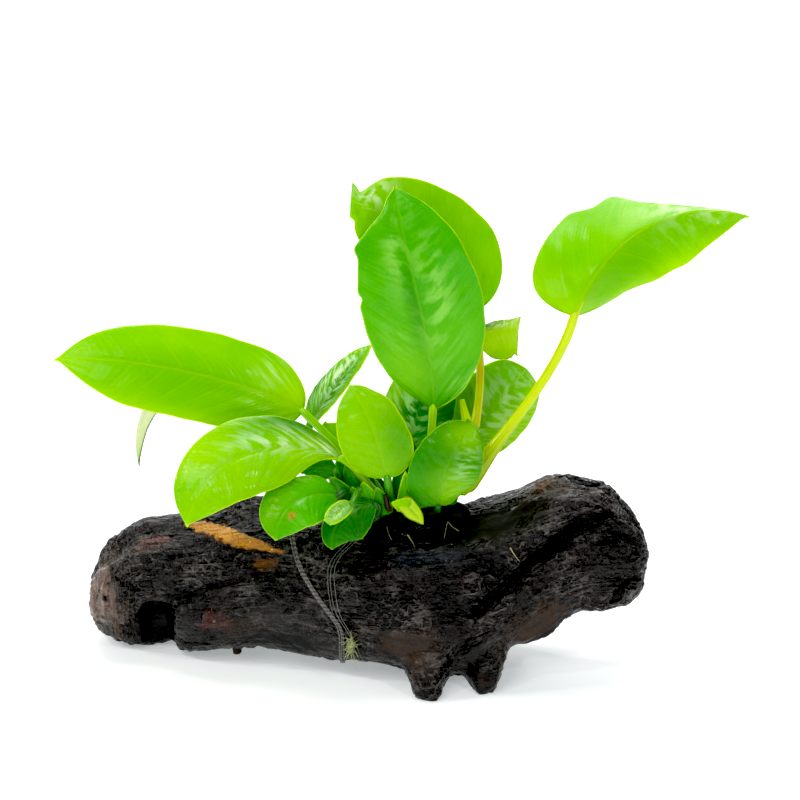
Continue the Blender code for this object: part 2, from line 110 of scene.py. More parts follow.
def smoothed(values: Array, box: int) -> Array:
    """Return the mean of each value and its neighbours, `box` of them, with the ends held."""
    return np.convolve(np.pad(values, box // 2, mode="edge"), np.ones(box) / box, "valid")


def curve_through(table: Array | Table, count: int) -> Array:
    """Return rows read along a smooth curve through the rows of a table.

    Between two rows it is a cubic whose slopes there are those of the rows on either side.

    Args:
        table: the rows to pass through.
        count: how many rows to read, evenly by row number.

    Returns:
        An array of `count` rows.
    """
    rows = np.asarray(table, dtype=float)
    slopes = np.gradient(rows, axis=0)
    where = np.linspace(0.0, len(rows) - 1.0, count)
    step = np.clip(where.astype(int), 0, len(rows) - 2)
    t = (where - step)[:, None]
    return ((1 + 2 * t) * (1 - t) ** 2 * rows[step] + t * (1 - t) ** 2 * slopes[step]
            + t ** 2 * (3 - 2 * t) * rows[step + 1] + t ** 2 * (t - 1) * slopes[step + 1])


def bezier(corners: Table, t: Array) -> tuple[Array, Array]:
    """Return the points and unit tangents of a cubic Bezier curve.

    Args:
        corners: the curve's four corners.
        t: places along it, from 0 to 1.

    Returns:
        The points and the tangents, one row for each place.
    """
    a, b, c, d = (np.asarray(corner, dtype=float) for corner in corners)
    t = np.asarray(t, dtype=float)[:, None]
    points = (1 - t) ** 3 * a + 3 * t * (1 - t) ** 2 * b + 3 * t ** 2 * (1 - t) * c + t ** 3 * d
    ways = (1 - t) ** 2 * (b - a) + 2 * t * (1 - t) * (c - b) + t ** 2 * (d - c)
    return points, unit(ways)


class Noise:
    """Smooth noise in space: a slope at each corner of a unit grid, blended by a soft step."""

    def __init__(self, seed: int) -> None:
        """Shuffle the table that gives each corner its slope and its own point.

        Args:
            seed: the number that fixes the shuffle.
        """
        random = np.random.default_rng(seed)
        self.order = random.permutation(NOISE_TABLE)
        self.slopes = unit(random.normal(size=(NOISE_TABLE, 3)))
        self.spots = random.uniform(size=(NOISE_TABLE, 3))

    def corner(self, cells: Array) -> Array:
        """Return each grid corner's row in the tables."""
        first = self.order[cells[..., 0] % NOISE_TABLE]
        second = self.order[(first + cells[..., 1]) % NOISE_TABLE]
        return self.order[(second + cells[..., 2]) % NOISE_TABLE]

    def at(self, points: Array) -> Array:
        """Return the noise at points, from about -1 to 1."""
        cells = np.floor(points).astype(int)
        local = points - cells
        fade = local ** 3 * (local * (local * 6.0 - 15.0) + 10.0)
        total = np.zeros(points.shape[:-1])
        for corner in np.ndindex(2, 2, 2):
            offset = np.array(corner)
            weight = np.prod(np.where(offset == 1, fade, 1.0 - fade), axis=-1)
            slope = self.slopes[self.corner(cells + offset)]
            total += weight * np.sum(slope * (local - offset), axis=-1)
        return NOISE_GAIN * total

    def layered(self, points: Array, layers: int) -> Array:
        """Return noise summed over layers, each twice as fine and half as high."""
        return sum(0.5 ** layer * self.at(points * 2.0 ** layer + 7.3 * layer)
                   for layer in range(layers))

    def ridged(self, points: Array, layers: int) -> Array:
        """Return sharp ridges from 0 to about 1: one less the noise's size, in layers."""
        total = sum(0.5 ** layer * (1.0 - np.abs(self.at(points * 2.1 ** layer + 3.1 * layer)))
                    for layer in range(layers))
        return total / (2.0 - 0.5 ** (layers - 1))

    def cells(self, points: Array) -> Array:
        """Return the second nearest spot's distance less the nearest one's: 0 between cells."""
        cells = np.floor(points).astype(int)
        near = np.full(points.shape[:-1], np.inf)
        second = near.copy()
        for corner in np.ndindex(3, 3, 3):
            there = cells + (np.array(corner) - 1)
            away = np.linalg.norm(there + self.spots[self.corner(there)] - points, axis=-1)
            second = np.minimum(second, np.maximum(near, away))
            near = np.minimum(near, away)
        return second - near


@dataclass
class Shell:
    """A closed surface: points in millimetres, faces, and named values at each point."""

    points: Array
    quads: Array
    triangles: Array
    values: dict[str, Array] = field(default_factory=dict)

    def outward(self) -> "Shell":
        """Return the shell with its faces turned outwards, by the sign of its volume."""
        a, b, c, d = (self.points[self.quads[:, corner]] for corner in range(4))
        volume = np.sum(a * np.cross(b, c)) + np.sum(a * np.cross(c, d))
        e, f, g = (self.points[self.triangles[:, corner]] for corner in range(3))
        volume += np.sum(e * np.cross(f, g))
        if volume < 0.0:
            return Shell(self.points, self.quads[:, ::-1], self.triangles[:, ::-1], self.values)
        return self


def joined(shells: list[Shell]) -> Shell:
    """Return several shells as one, with the values that they all have."""
    starts = np.cumsum([0] + [len(shell.points) for shell in shells[:-1]])
    names = set.intersection(*(set(shell.values) for shell in shells))
    return Shell(
        np.concatenate([shell.points for shell in shells]),
        np.concatenate([shell.quads + start for shell, start in zip(shells, starts)]),
        np.concatenate([shell.triangles + start for shell, start in zip(shells, starts)]),
        {name: np.concatenate([shell.values[name] for shell in shells]) for name in names})


def ringed(grid: Array, values: dict[str, Array] | None = None,
           closed: bool = False) -> Shell:
    """Return a closed shell from rings of points, each ring closed on itself.

    Args:
        grid: rings x spokes x 3 points.
        values: named values on the same grid.
        closed: whether the last ring joins the first. Else a pole closes each end.

    Returns:
        The shell, faces outwards.
    """
    rings, spokes = grid.shape[:2]
    here = np.arange(rings * spokes).reshape(rings, spokes)
    after = np.roll(here, -1, axis=1)
    quads = np.stack([here, after, np.roll(after, -1, axis=0), np.roll(here, -1, axis=0)], axis=-1)
    points = grid.reshape(-1, 3)
    kept = {name: value.reshape(rings * spokes, -1) for name, value in (values or {}).items()}
    if closed:
        return Shell(points, quads.reshape(-1, 4), np.zeros((0, 3), dtype=int), kept).outward()
    poles = rings * spokes + np.arange(2)
    triangles = np.concatenate([
        np.stack([np.full(spokes, poles[0]), after[0], here[0]], axis=-1),
        np.stack([np.full(spokes, poles[1]), here[-1], after[-1]], axis=-1)])
    ends = grid[[0, -1]].mean(axis=1)
    for name, value in (values or {}).items():
        at_poles = value[[0, -1]].reshape(2, spokes, -1).mean(axis=1)
        kept[name] = np.concatenate([kept[name], at_poles])
    return Shell(np.concatenate([points, ends]), quads[:-1].reshape(-1, 4), triangles,
                 kept).outward()


def swept(path: Array, radii: Array, spokes: int, up: Array,
          form: Array | None = None, closed: bool = False) -> Shell:
    """Carry a ring along a path.

    Each ring lies square to the path, with its zero degrees at `up` crossed with the path's way.

    Args:
        path: the points to follow.
        radii: the radius at each point.
        spokes: points in a ring.
        up: one direction, or one for each point, that the rings are turned by.
        form: factors on the radius, on a rings x spokes grid.
        closed: whether the path joins its own start.

    Returns:
        The tube as a shell, with its place along and round it as the value "place".
    """
    if closed:
        way = unit(np.roll(path, -1, axis=0) - np.roll(path, 1, axis=0))
    else:
        way = unit(np.gradient(path, axis=0))
    side = unit(np.cross(np.broadcast_to(up, path.shape), way))
    over = np.cross(way, side)
    angle = circle(spokes)
    reach = radii[:, None] * (np.ones((len(path), spokes)) if form is None else form)
    grid = (path[:, None, :] + side[:, None, :] * (reach * np.cos(angle))[..., None]
            + over[:, None, :] * (reach * np.sin(angle))[..., None])
    length = np.concatenate([[0.0], np.cumsum(np.linalg.norm(np.diff(path, axis=0), axis=1))])
    place = stacked((length / length[-1])[:, None], (angle / FULL_TURN)[None, :], length[:, None])
    return ringed(grid, {"place": place}, closed)


def add_piece(name: str, shell: Shell, finish: bpy.types.Material, slot: str,
              *nodes: str) -> bpy.types.Object:
    """Put a shell into the scene as a finished piece.

    Args:
        name: the piece's name.
        shell: its surface in millimetres.
        finish: its material.
        slot: a material slot; not used.
        nodes: the solids that it stands for.

    Returns:
        The new object.
    """
    corners = np.concatenate([shell.quads.ravel(), shell.triangles.ravel()]).astype(np.int32)
    sizes = np.concatenate([np.full(len(shell.quads), 4), np.full(len(shell.triangles), 3)])
    starts = np.concatenate([[0], np.cumsum(sizes)[:-1]]).astype(np.int32)
    mesh = bpy.data.meshes.new(name)
    mesh.vertices.add(len(shell.points))
    mesh.vertices.foreach_set("co", placed(shell.points).astype(np.float32).ravel())
    mesh.loops.add(len(corners))
    mesh.loops.foreach_set("vertex_index", corners)
    mesh.polygons.add(len(sizes))
    mesh.polygons.foreach_set("loop_start", starts)
    mesh.update(calc_edges=True)
    for label, value in shell.values.items():
        wide = np.ones((len(shell.points), 4), dtype=np.float32)
        wide[:, :value.shape[1]] = value
        mesh.attributes.new(label, "FLOAT_COLOR", "POINT").data.foreach_set("color", wide.ravel())
    mesh.shade_smooth()
    mesh.materials.append(finish)
    piece = bpy.data.objects.new(name, mesh)
    bpy.context.scene.collection.objects.link(piece)
    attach(piece, "root")
    if nodes:
        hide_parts(*nodes)
    LOG.info("%s: %d points, %d faces", name, len(shell.points), len(sizes))
    return piece


class Graph:
    """The node graph of one material, with short methods for the nodes that finishes need."""

    def __init__(self, name: str) -> None:
        """Start an empty graph.

        Args:
            name: the material's name.
        """
        self.material = bpy.data.materials.new(name)
        self.material.use_nodes = True
        self.nodes = self.material.node_tree.nodes
        self.nodes.clear()
        self.output = self.nodes.new("ShaderNodeOutputMaterial")
        self.object_place = self.nodes.new("ShaderNodeTexCoord").outputs["Object"]

    def put(self, socket: Socket, value: object) -> None:
        """Link a socket to another, or set its value."""
        if isinstance(value, Socket):
            self.material.node_tree.links.new(value, socket)
        else:
            socket.default_value = value

    def value(self, name: str) -> tuple[Socket, ...]:
        """Return the three channels of a named value of the mesh."""
        node = self.nodes.new("ShaderNodeAttribute")
        node.attribute_name = name
        split = self.nodes.new("ShaderNodeSeparateColor")
        self.put(split.inputs["Color"], node.outputs["Color"])
        return tuple(split.outputs)

    def math(self, operation: str, *values: object) -> Socket:
        """Return the result of one sum on sockets or numbers."""
        node = self.nodes.new("ShaderNodeMath")
        node.operation = operation
        for socket, value in zip(node.inputs, values):
            self.put(socket, value)
        return node.outputs["Value"]

    def times(self, first: object, second: object) -> Socket:
        """Return the product of two sockets or numbers."""
        return self.math("MULTIPLY", first, second)

    def plus(self, first: object, second: object) -> Socket:
        """Return the sum of two sockets or numbers."""
        return self.math("ADD", first, second)

    def between(self, value: object, low: float, high: float, bottom: float = 0.0,
                top: float = 1.0) -> Socket:
        """Return a smooth rise from `bottom` to `top` as the value goes from low to high."""
        node = self.nodes.new("ShaderNodeMapRange")
        node.interpolation_type = "SMOOTHSTEP"
        for label, number in zip(("From Min", "From Max", "To Min", "To Max"),
                                 (low, high, bottom, top)):
            node.inputs[label].default_value = number
        self.put(node.inputs["Value"], value)
        return node.outputs["Result"]

    def mix(self, factor: object, under: object, over: object, blend: str = "MIX") -> Socket:
        """Return two colours mixed by a factor."""
        node = self.nodes.new("ShaderNodeMix")
        node.data_type = "RGBA"
        node.blend_type = blend
        self.put(node.inputs[0], factor)
        inputs = [socket for socket in node.inputs if socket.type == "RGBA"]
        self.put(inputs[0], under)
        self.put(inputs[1], over)
        return next(socket for socket in node.outputs if socket.type == "RGBA")

    def coated(self, color: object, *coats: tuple[object, object]) -> Socket:
        """Return a colour under others, each given as its share and itself, from low to high."""
        for share, over in coats:
            color = self.mix(share, color, over)
        return color

    def stretched(self, scale: Numbers) -> Socket:
        """Return the object's coordinates scaled by a factor for each axis."""
        node = self.nodes.new("ShaderNodeMapping")
        node.inputs["Scale"].default_value = scale
        self.put(node.inputs["Vector"], self.object_place)
        return node.outputs["Vector"]

    def noise(self, scale: float, detail: float = 3.0, vector: object = None,
              distortion: float = 0.0) -> Socket:
        """Return cloudy noise of `scale` cells to the metre."""
        node = self.nodes.new("ShaderNodeTexNoise")
        node.inputs["Scale"].default_value = scale
        node.inputs["Detail"].default_value = detail
        node.inputs["Distortion"].default_value = distortion
        self.put(node.inputs["Vector"], self.object_place if vector is None else vector)
        return node.outputs["Fac"]

    def ridges(self, scale: float, detail: float, vector: object) -> Socket:
        """Return sharp crests, 1 at the middle of noise and falling to 0 on both sides."""
        middle = self.math("SUBTRACT", self.noise(scale, detail, vector, 0.4), 0.5)
        return self.math("SUBTRACT", 1.0, self.times(self.math("ABSOLUTE", middle), 4.0))

    def combined(self, *values: object) -> Socket:
        """Return three numbers as one vector."""
        node = self.nodes.new("ShaderNodeCombineXYZ")
        for socket, value in zip(node.inputs, values):
            self.put(socket, value)
        return node.outputs["Vector"]

    def bump(self, height: object, distance: float, strength: float = 1.0,
             over: object = None) -> Socket:
        """Return a normal roughened by a height of `distance` metres."""
        node = self.nodes.new("ShaderNodeBump")
        node.inputs["Strength"].default_value = strength
        node.inputs["Distance"].default_value = distance
        self.put(node.inputs["Height"], height)
        if over is not None:
            self.put(node.inputs["Normal"], over)
        return node.outputs["Normal"]

    def surface(self, color: object, roughness: object, normal: object = None,
                specular: float = 0.5, glow: object = 0.0) -> Socket:
        """Return a shader of one surface, from its colour, roughness, relief, gloss and glow."""
        node = self.nodes.new("ShaderNodeBsdfPrincipled")
        self.put(node.inputs["Base Color"], color)
        self.put(node.inputs["Roughness"], roughness)
        node.inputs["Specular IOR Level"].default_value = specular
        node.inputs["Emission Color"].default_value = COOL_WHITE
        self.put(node.inputs["Emission Strength"], glow)
        if normal is not None:
            self.put(node.inputs["Normal"], normal)
        return node.outputs["BSDF"]

    def finish(self, shader: Socket) -> bpy.types.Material:
        """Send the shader to the output and return the material."""
        self.put(self.output.inputs["Surface"], shader)
        return self.material

    def thin(self, shader: Socket, color: object, share: float) -> Socket:
        """Return the shader with a share of light let through in a colour."""
        through = self.nodes.new("ShaderNodeBsdfTranslucent")
        self.put(through.inputs["Color"], color)
        node = self.nodes.new("ShaderNodeMixShader")
        node.inputs["Fac"].default_value = share
        self.put(node.inputs[1], shader)
        self.put(node.inputs[2], through.outputs["BSDF"])
        return node.outputs["Shader"]


@dataclass(frozen=True)
class PlainFinish:
    """Two mottled colours, for the small pieces.

    mottle, grain: the cells to the metre and the layers of the mottle, and of the roughening.
    spread: between which values of the mottle the first colour turns into the second.
    through: the share of light that it lets through.
    """

    first: Color
    second: Color
    mottle: tuple[float, float]
    roughness: float
    gloss: float = 0.5
    spread: tuple[float, float] | None = None
    grain: tuple[float, float] | None = None
    grain_height: float = 0.0003
    through: float = 0.0

    def material(self, name: str) -> bpy.types.Material:
        """Return the finish as a material."""
        graph = Graph(name)
        share = graph.noise(*self.mottle)
        if self.spread:
            share = graph.between(share, *self.spread)
        color = graph.mix(share, self.first, self.second)
        normal = graph.bump(graph.noise(*self.grain), self.grain_height) if self.grain else None
        shader = graph.surface(color, self.roughness, normal, self.gloss)
        if self.through:
            shader = graph.thin(shader, color, self.through)
        return graph.finish(shader)


class Tint(Enum):
    """Colours that lie in patches on the dark bark."""

    PALE = paint(140, 118, 106)
    OCHRE = paint(200, 138, 44)
    RED = paint(126, 66, 56)
    OLIVE = paint(20, 22, 11)
    BROWN = paint(62, 44, 30)
    BLUE = paint(58, 64, 74)


TINT_CHANNELS = {"tint_a": (Tint.PALE, Tint.OCHRE, Tint.RED),
                 "tint_b": (Tint.OLIVE, Tint.BROWN, Tint.BLUE)}


@dataclass(frozen=True)
class Patch:
    """A patch of colour on the bark: its middle, how far it reaches, and how strong it is."""

    tint: Tint
    x: float
    degrees: float
    reach: float
    degrees_reach: float
    strength: float = 1.0


@dataclass(frozen=True)
class Crease:
    """A groove (+ depth) or a raised line (- depth) along points of x and degrees.

    fine: height of the fine lines that run beside it.
    """

    line: tuple[tuple[float, float], ...]
    width: float
    depth: float
    fine: float = 0.0


@dataclass(frozen=True)
class BarkFinish:
    """Dark, wet bark: nearly black, with coloured patches, pale ridges that are partly wear and
    partly painted glints, and painted shade in its low places.

    The three shares of pale on the crests, the crinkles and the worn edges: partly wear, partly
    painted glints.
    The sizes of the noises are cells to the metre, and the heights metres.
    """

    # Near black: the bark's own dark mottle, and also the painted shade of its low places.
    dark: Color = paint(7, 6, 6)
    body: Color = paint(25, 20, 19)
    # The pale of worn crests, which also stands for painted glints.
    worn_glint: Color = paint(122, 115, 110)
    torn: Color = paint(142, 86, 20)
    roughness: tuple[float, float] = (0.1, 0.36)
    fibre_height: float = 0.0011
    crinkle_height: float = 0.0006
    speck_height: float = 0.00006
    gloss: float = 0.32
    moss_roughness: float = 0.9
    hollow_roughness: float = 0.45
    glint_wear: Numbers = (0.4, 0.44, 0.4)
    mottle_cells: float = 130.0
    fibre_cells: float = 420.0
    crest_cells: float = 330.0
    crinkle_cells: float = 480.0
    crinkle_stretch: Numbers = (0.7, 1.0, 1.0)
    patch_cells: float = 75.0
    gloss_cells: float = 300.0
    speck_cells: float = 1500.0

    def tinted(self, graph: Graph, color: object, fibres: object) -> Socket:
        """Return a colour under the tints' patches, which the fibres break up."""
        coats = []
        for label, tints in TINT_CHANNELS.items():
            for share, tint in zip(graph.value(label), tints):
                if tint is Tint.OCHRE:
                    coats.append((share, graph.mix(graph.between(fibres, 0.36, 0.6), self.torn,
                                                   tint.value)))
                else:
                    broken = graph.times(share, graph.between(fibres, 0.3, 0.62, 0.2))
                    coats.append((broken, tint.value))
        return graph.coated(color, *coats)

    def material(self) -> bpy.types.Material:
        """Return the bark's material.

        The mesh's "tint" values give the patches' strengths, "relief" gives how far each point
        stands out (low places and pits are painted darker as shade), how smooth the bark is there
        and where its crests stand (painted pale as wear and as glints), and "grain" gives
        coordinates that are squeezed along the fibres.
        """
        graph = Graph("wet_bark")
        height, smooth, worn_glint = graph.value("relief")
        grain = graph.combined(*graph.value("grain"))
        fibres = graph.noise(self.fibre_cells, 5.0, grain)
        crests = graph.ridges(self.crest_cells, 4.0, grain)
        crinkle = graph.ridges(self.crinkle_cells, 3.0, graph.stretched(self.crinkle_stretch))
        rough_share = graph.between(smooth, 0.0, 0.8, 1.0, 0.06)
        bark = graph.math("SUBTRACT", 1.0, graph.value("tint_a")[1])
        patchy = graph.between(graph.noise(self.patch_cells, 2.0), 0.42, 0.6, 0.08, 1.0)
        wear_glint_share = graph.times(graph.times(patchy, graph.times(rough_share, bark)),
                              graph.between(height, 0.3, 0.7, 0.1, 1.0))
        # Crests, crinkle lines and worn edges are painted pale: partly wear, partly painted glints.
        crest_glint_share, crinkle_glint_share, edge_glint_share = self.glint_wear
        crest_highlight = graph.times(graph.between(crests, 0.86, 0.99, 0.0, crest_glint_share), wear_glint_share)
        line = graph.times(graph.between(crinkle, 0.84, 0.98, 0.0, crinkle_glint_share), wear_glint_share)
        edge = graph.times(graph.times(worn_glint, bark),
                           graph.between(crinkle, 0.6, 0.95, 0.0, edge_glint_share))
        mottle = graph.between(graph.noise(self.mottle_cells, 4.0), 0.35, 0.7)
        color = self.tinted(graph, graph.mix(mottle, self.dark, self.body), fibres)
        # The last coat is painted shade: near black where the bark lies low, in hollows, creases
        # and pits.
        color = graph.coated(color, (crest_highlight, self.worn_glint), (line, self.worn_glint), (edge, self.worn_glint),
                             (graph.between(height, 0.0, 0.45, 0.8, 0.0), self.dark))
        normal = graph.bump(graph.times(crests, rough_share), self.fibre_height)
        normal = graph.bump(graph.times(crinkle, rough_share), self.crinkle_height, 1.0, normal)
        normal = graph.bump(graph.noise(self.speck_cells, 2.0), self.speck_height, 1.0, normal)
        rough = graph.between(graph.noise(self.gloss_cells), 0.3, 0.7, *self.roughness)
        for least in (graph.between(height, 0.0, 0.2, self.hollow_roughness, 0.0),
                      graph.times(graph.value("tint_b")[0], self.moss_roughness)):
            rough = graph.math("MAXIMUM", rough, least)
        return graph.finish(graph.surface(color, rough, normal, self.gloss))


@dataclass
class Driftwood:
    """The log: the solid's own rings, closer together, with the bark's relief on them."""

    rings: int = 418
    spokes: int = 238
    crowding: float = 0.32
    crowded_degrees: float = 150.0
    power: float = 2.2
    ridges: int = 7
    ridge_height: float = 0.7
    ridge_twist: float = 0.06
    ridge_wander: float = 1.2
    full_radius: float = 8.0
    fibre_squeeze: float = 0.12
    grain_radius: float = 20.0
    crease_waves: float = 1.1
    crease_reach: float = 2.6
    torn_rise: float = 0.45
    torn_smooth: float = 0.75
    smooth_share: float = 0.85
    # How much darker the pits are painted, as shade.
    pit_shade: float = 0.45
    # The relief's grains, as the lengths of their noise along X, Y and Z.
    swell_grain: float = 17.0
    warp_grain: float = 9.0
    long_grain: Numbers = (15.0, 2.8, 2.8)
    round_grain: Numbers = (2.6, 16.0, 16.0)
    cell_grain: Numbers = (4.2, 2.1, 2.1)
    fine_grain: Numbers = (4.0, 1.0, 1.0)
    ledge_grain: Numbers = (34.0, 7.5, 7.5)
    patch_grain: Numbers = (15.0, 8.0, 8.0)
    torn_grain: Numbers = (2.6, 1.1, 1.1)
    tint_grain: Numbers = (5.0, 2.0, 2.0)
    # The heights of the relief's parts, and how far the noise bends them.
    swell_height: float = 0.7
    bend_height: float = 2.2
    fibre_height: float = 1.2
    fine_height: float = 0.45
    ledge_height: float = 1.5
    section_rows: int = 400
    outline_rows: int = 4000
    stations: Table = (
        (-87.3, 15, 13.5, 0, 0), (-86, 15, 13.8, 8, 6.5),
        (-82.5, 15, 15, 13.5, 11.8), (-77, 15, 16, 16.5, 15.6),
        (-70, 14.5, 17.3, 17.5, 17.4), (-60, 13, 18.5, 18, 17.3),
        (-50, 10.5, 20.5, 18.5, 18.3), (-40, 8, 22.5, 20, 20.3),
        (-28, 5.5, 22.6, 20.5, 20.8), (-15, 2.5, 22, 21.5, 21),
        (-2, 1.2, 21.8, 22, 21), (10, 0, 22.8, 22, 20.8),
        (21, -0.5, 24.4, 20.5, 20.5), (31, -1.2, 27.8, 18.5, 20.7),
        (40, -2, 32, 17, 21.3), (48, -2.5, 34.8, 16, 19),
        (55, -3, 34.8, 15, 17.3), (61, -3, 33.5, 12.5, 13.3),
        (65, -3, 32.8, 9, 8), (66.8, -3, 32.6, 4.5, 3.8),
        (67.4, -3, 32.5, 0, 0))
    # Lumps (+) and hollows (-): x, degrees, reach along x, reach in degrees, height, and power,
    # where 2 is a bell and 4 has a flat top and steep sides.
    lumps: Table = (
        (-71, 203, 6.5, 24, -4.5, 2), (-66.6, 210, 3.8, 30, -6, 4),
        (-52, 212, 10.8, 36, 2.5, 4), (-71, 268, 7, 24, 1.6, 2),
        (15, 226, 16, 30, 4.5, 2), (7.2, 228, 4.6, 20, 10, 4),
        (23.6, 236, 4.8, 19, 9.5, 4), (19, 300, 8, 20, 10.5, 2),
        (-18, 284, 14, 34, -4, 2), (37.5, 246, 5.2, 30, 2.2, 4),
        (63, 215, 4, 24, 1.5, 2))
    creases: tuple[Crease, ...] = (
        Crease(((-79.4, 118), (-81.1, 160), (-79.4, 186), (-76.4, 222)), 0.7, 0.8, 0.15),
        Crease(((-84, 135), (-84.6, 170), (-83, 210)), 0.6, 0.6, 0.12),
        Crease(((32, 158), (37.5, 153), (42.5, 147), (47.8, 142), (52.6, 134), (59.1, 120),
                (63, 104)), 1.7, 2.2, 0.35),
        Crease(((20, 184), (25, 176), (30.6, 168), (34.6, 160), (38.8, 157), (46, 150)),
               1.7, 2.2, 0.35),
        Crease(((50, 160), (56, 152), (61, 140)), 0.8, 0.9, 0.2),
        Crease(((30, 108), (37.4, 113), (45.3, 120), (53.4, 118), (59, 108), (60, 90)),
               1.2, -1.6, 0.25),
        Crease(((58.4, 223), (61.8, 209), (65, 192)), 0.8, -1.6),
        Crease(((56.4, 222), (59.8, 207), (63.6, 190)), 0.7, 1.2),
        Crease(((-34, 158), (-44, 163), (-54, 168), (-62, 172)), 1.2, 0.7, 0.2))
    # Pits with steep rims: x, degrees, reach along x, reach in degrees, depth, and power. The
    # pits are also painted darker, as shade.
    pits: Table = ((-67.6, 214, 4.2, 30, 2.4, 4),)
    # Wide swells (+) and hollows (-) of the bark: x, degrees, reaches, and height.
    swells: Table = (
        (-47, 252, 13, 26, -2.6), (-80, 112, 5.5, 32, -1.9),
        (-60, 94, 8, 24, 1.2), (34.5, 250, 6, 22, -3),
        (-73, 250, 6, 22, -1), (48, 250, 4, 20, -1),
        (60.5, 98, 4.5, 30, -1.5),
        (66, 150, 3, 16, 0.7), (67, 205, 3, 14, -0.8),
        (-54, 205, 9, 26, 1), (-33, 195, 6, 30, -0.9),
        (8, 195, 8, 18, 1))
    # The torn place where golden wood shows: x, degrees and half width.
    torn: Table = (
        (-59, 101, 0.5), (-56, 103, 1.5), (-52.5, 109, 2.4), (-49, 118, 2.5),
        (-45.5, 128, 2.1), (-41, 134.5, 1.7), (-36.5, 138.5, 1.1), (-31.5, 141, 0.3))
    patches: tuple[Patch, ...] = (
        Patch(Tint.PALE, -84.5, 165, 4.2, 60, 1), Patch(Tint.PALE, -79, 190, 3.6, 34, 0.55),
        Patch(Tint.RED, -67.5, 122, 5.5, 7, 0.8), Patch(Tint.RED, -50, 192, 5, 10, 0.3),
        Patch(Tint.OCHRE, -36, 151, 3.6, 5, 0.42),
        Patch(Tint.OCHRE, 39.5, 92, 6, 8, 0.16),
        Patch(Tint.OLIVE, 22, 116, 22, 20, 0.9),
        Patch(Tint.BROWN, 2.7, 199, 9, 12, 0.6), Patch(Tint.BROWN, 36, 216, 9, 14, 0.8),
        Patch(Tint.BROWN, -43, 200, 8, 12, 0.4), Patch(Tint.BROWN, 44, 104, 9, 10, 0.6),
        Patch(Tint.BLUE, 6, 140, 10, 10, 0.5), Patch(Tint.BROWN, -83, 120, 9, 30, 0.5))
    # Where the bark is smooth: x, degrees, reach along x, reach in degrees, how much.
    smooth_places: Table = (
        (-68, 210, 7.5, 34, 1), (2.7, 199, 10, 12, 0.8),
        (-30, 215, 24, 18, 0.7), (-80, 175, 5, 40, 0.5),
        (20, 216, 8, 18, 0.7), (38, 220, 10, 18, 0.8),
        (22, 116, 21, 20, 1), (-33, 198, 16, 16, 0.55))

    def section(self, x: Array) -> list[Array]:
        """Return the middle's Y and Z and the half depth and half height of the section at x."""
        places, *columns = curve_through(self.stations, self.section_rows).T
        return [np.interp(x, places, column) for column in columns]

    def form(self, x: Array, angle: Array) -> Array:
        """Return points of the solid's surface.

        A section is a rounded oval, |cos/depth|^power + |sin/height|^power = 1, to which bells
        at the lumps' places and a slow cosine for the ridges are added.
        """
        middle_y, middle_z, depth, height = self.section(x)
        oval = (np.abs(np.cos(angle) / np.maximum(depth, 1e-6)) ** self.power
                + np.abs(np.sin(angle) / np.maximum(height, 1e-6)) ** self.power
                ) ** (-1.0 / self.power)
        added = self.ridge_height * np.cos(
            self.ridges * angle + self.ridge_twist * x + self.ridge_wander * np.sin(0.05 * x))
        for *place, rise, steep in self.lumps:
            added = added + rise * self.bell(x, angle, *place, steep)
        radius = oval + np.clip(oval / self.full_radius, 0.0, 1.0) * added
        return stacked(x, middle_y + radius * np.cos(angle), middle_z + radius * np.sin(angle))

    @staticmethod
    def bell(x: Array, angle: Array, at_x: float, at_degrees: float, reach: float,
             degrees_reach: float, steep: float = 2.0) -> Array:
        """Return exp(-|dx / reach|^steep - |turn / degrees_reach|^steep) round a place."""
        turn = np.abs((np.degrees(angle) - at_degrees + 180.0) % 360.0 - 180.0)
        return np.exp(-(np.abs(x - at_x) / reach) ** steep - (turn / degrees_reach) ** steep)

    def normal(self, x: Array, angle: Array) -> Array:
        """Return the outward normals, from the form's slopes along x and round it."""
        step_x, step_angle = 0.15, 0.008
        low = self.stations[0][0] + 2.0 * step_x
        x = np.clip(x, low, self.stations[-1][0] - 2.0 * step_x)
        along = self.form(x + step_x, angle) - self.form(x - step_x, angle)
        around = self.form(x, angle + step_angle) - self.form(x, angle - step_angle)
        return unit(np.cross(around, along))

    def smoothness(self, x: Array, angle: Array) -> Array:
        """Return how smooth the bark is, from 0 to 1: the strongest of the smooth places."""
        return np.max([much * self.bell(x, angle, *place)
                       for *place, much in self.smooth_places], axis=0)

    def nearest(self, points: Array, line: Array) -> tuple[Array, Array]:
        """Return each point's distance to a line on the form, and its place along it.

        Args:
            points: the points.
            line: the line's corners as x and degrees.

        Returns:
            The distances in millimetres, and the places from 0 to 1.
        """
        corners = self.form(line[:, 0], np.radians(line[:, 1]))
        distance = np.full(points.shape[:-1], np.inf)
        place = np.zeros(points.shape[:-1])
        for step, (start, end) in enumerate(zip(corners[:-1], corners[1:])):
            run = end - start
            t = np.clip((points - start) @ run / (run @ run), 0.0, 1.0)
            away = np.linalg.norm(points - start - t[..., None] * run, axis=-1)
            place = np.where(away < distance, (step + t) / (len(corners) - 1), place)
            distance = np.minimum(distance, away)
        return distance, place

    def swelling(self, x: Array, angle: Array) -> Array:
        """Return the sum of the wide swells and hollows."""
        return sum(rise * self.bell(x, angle, *place) for *place, rise in self.swells)

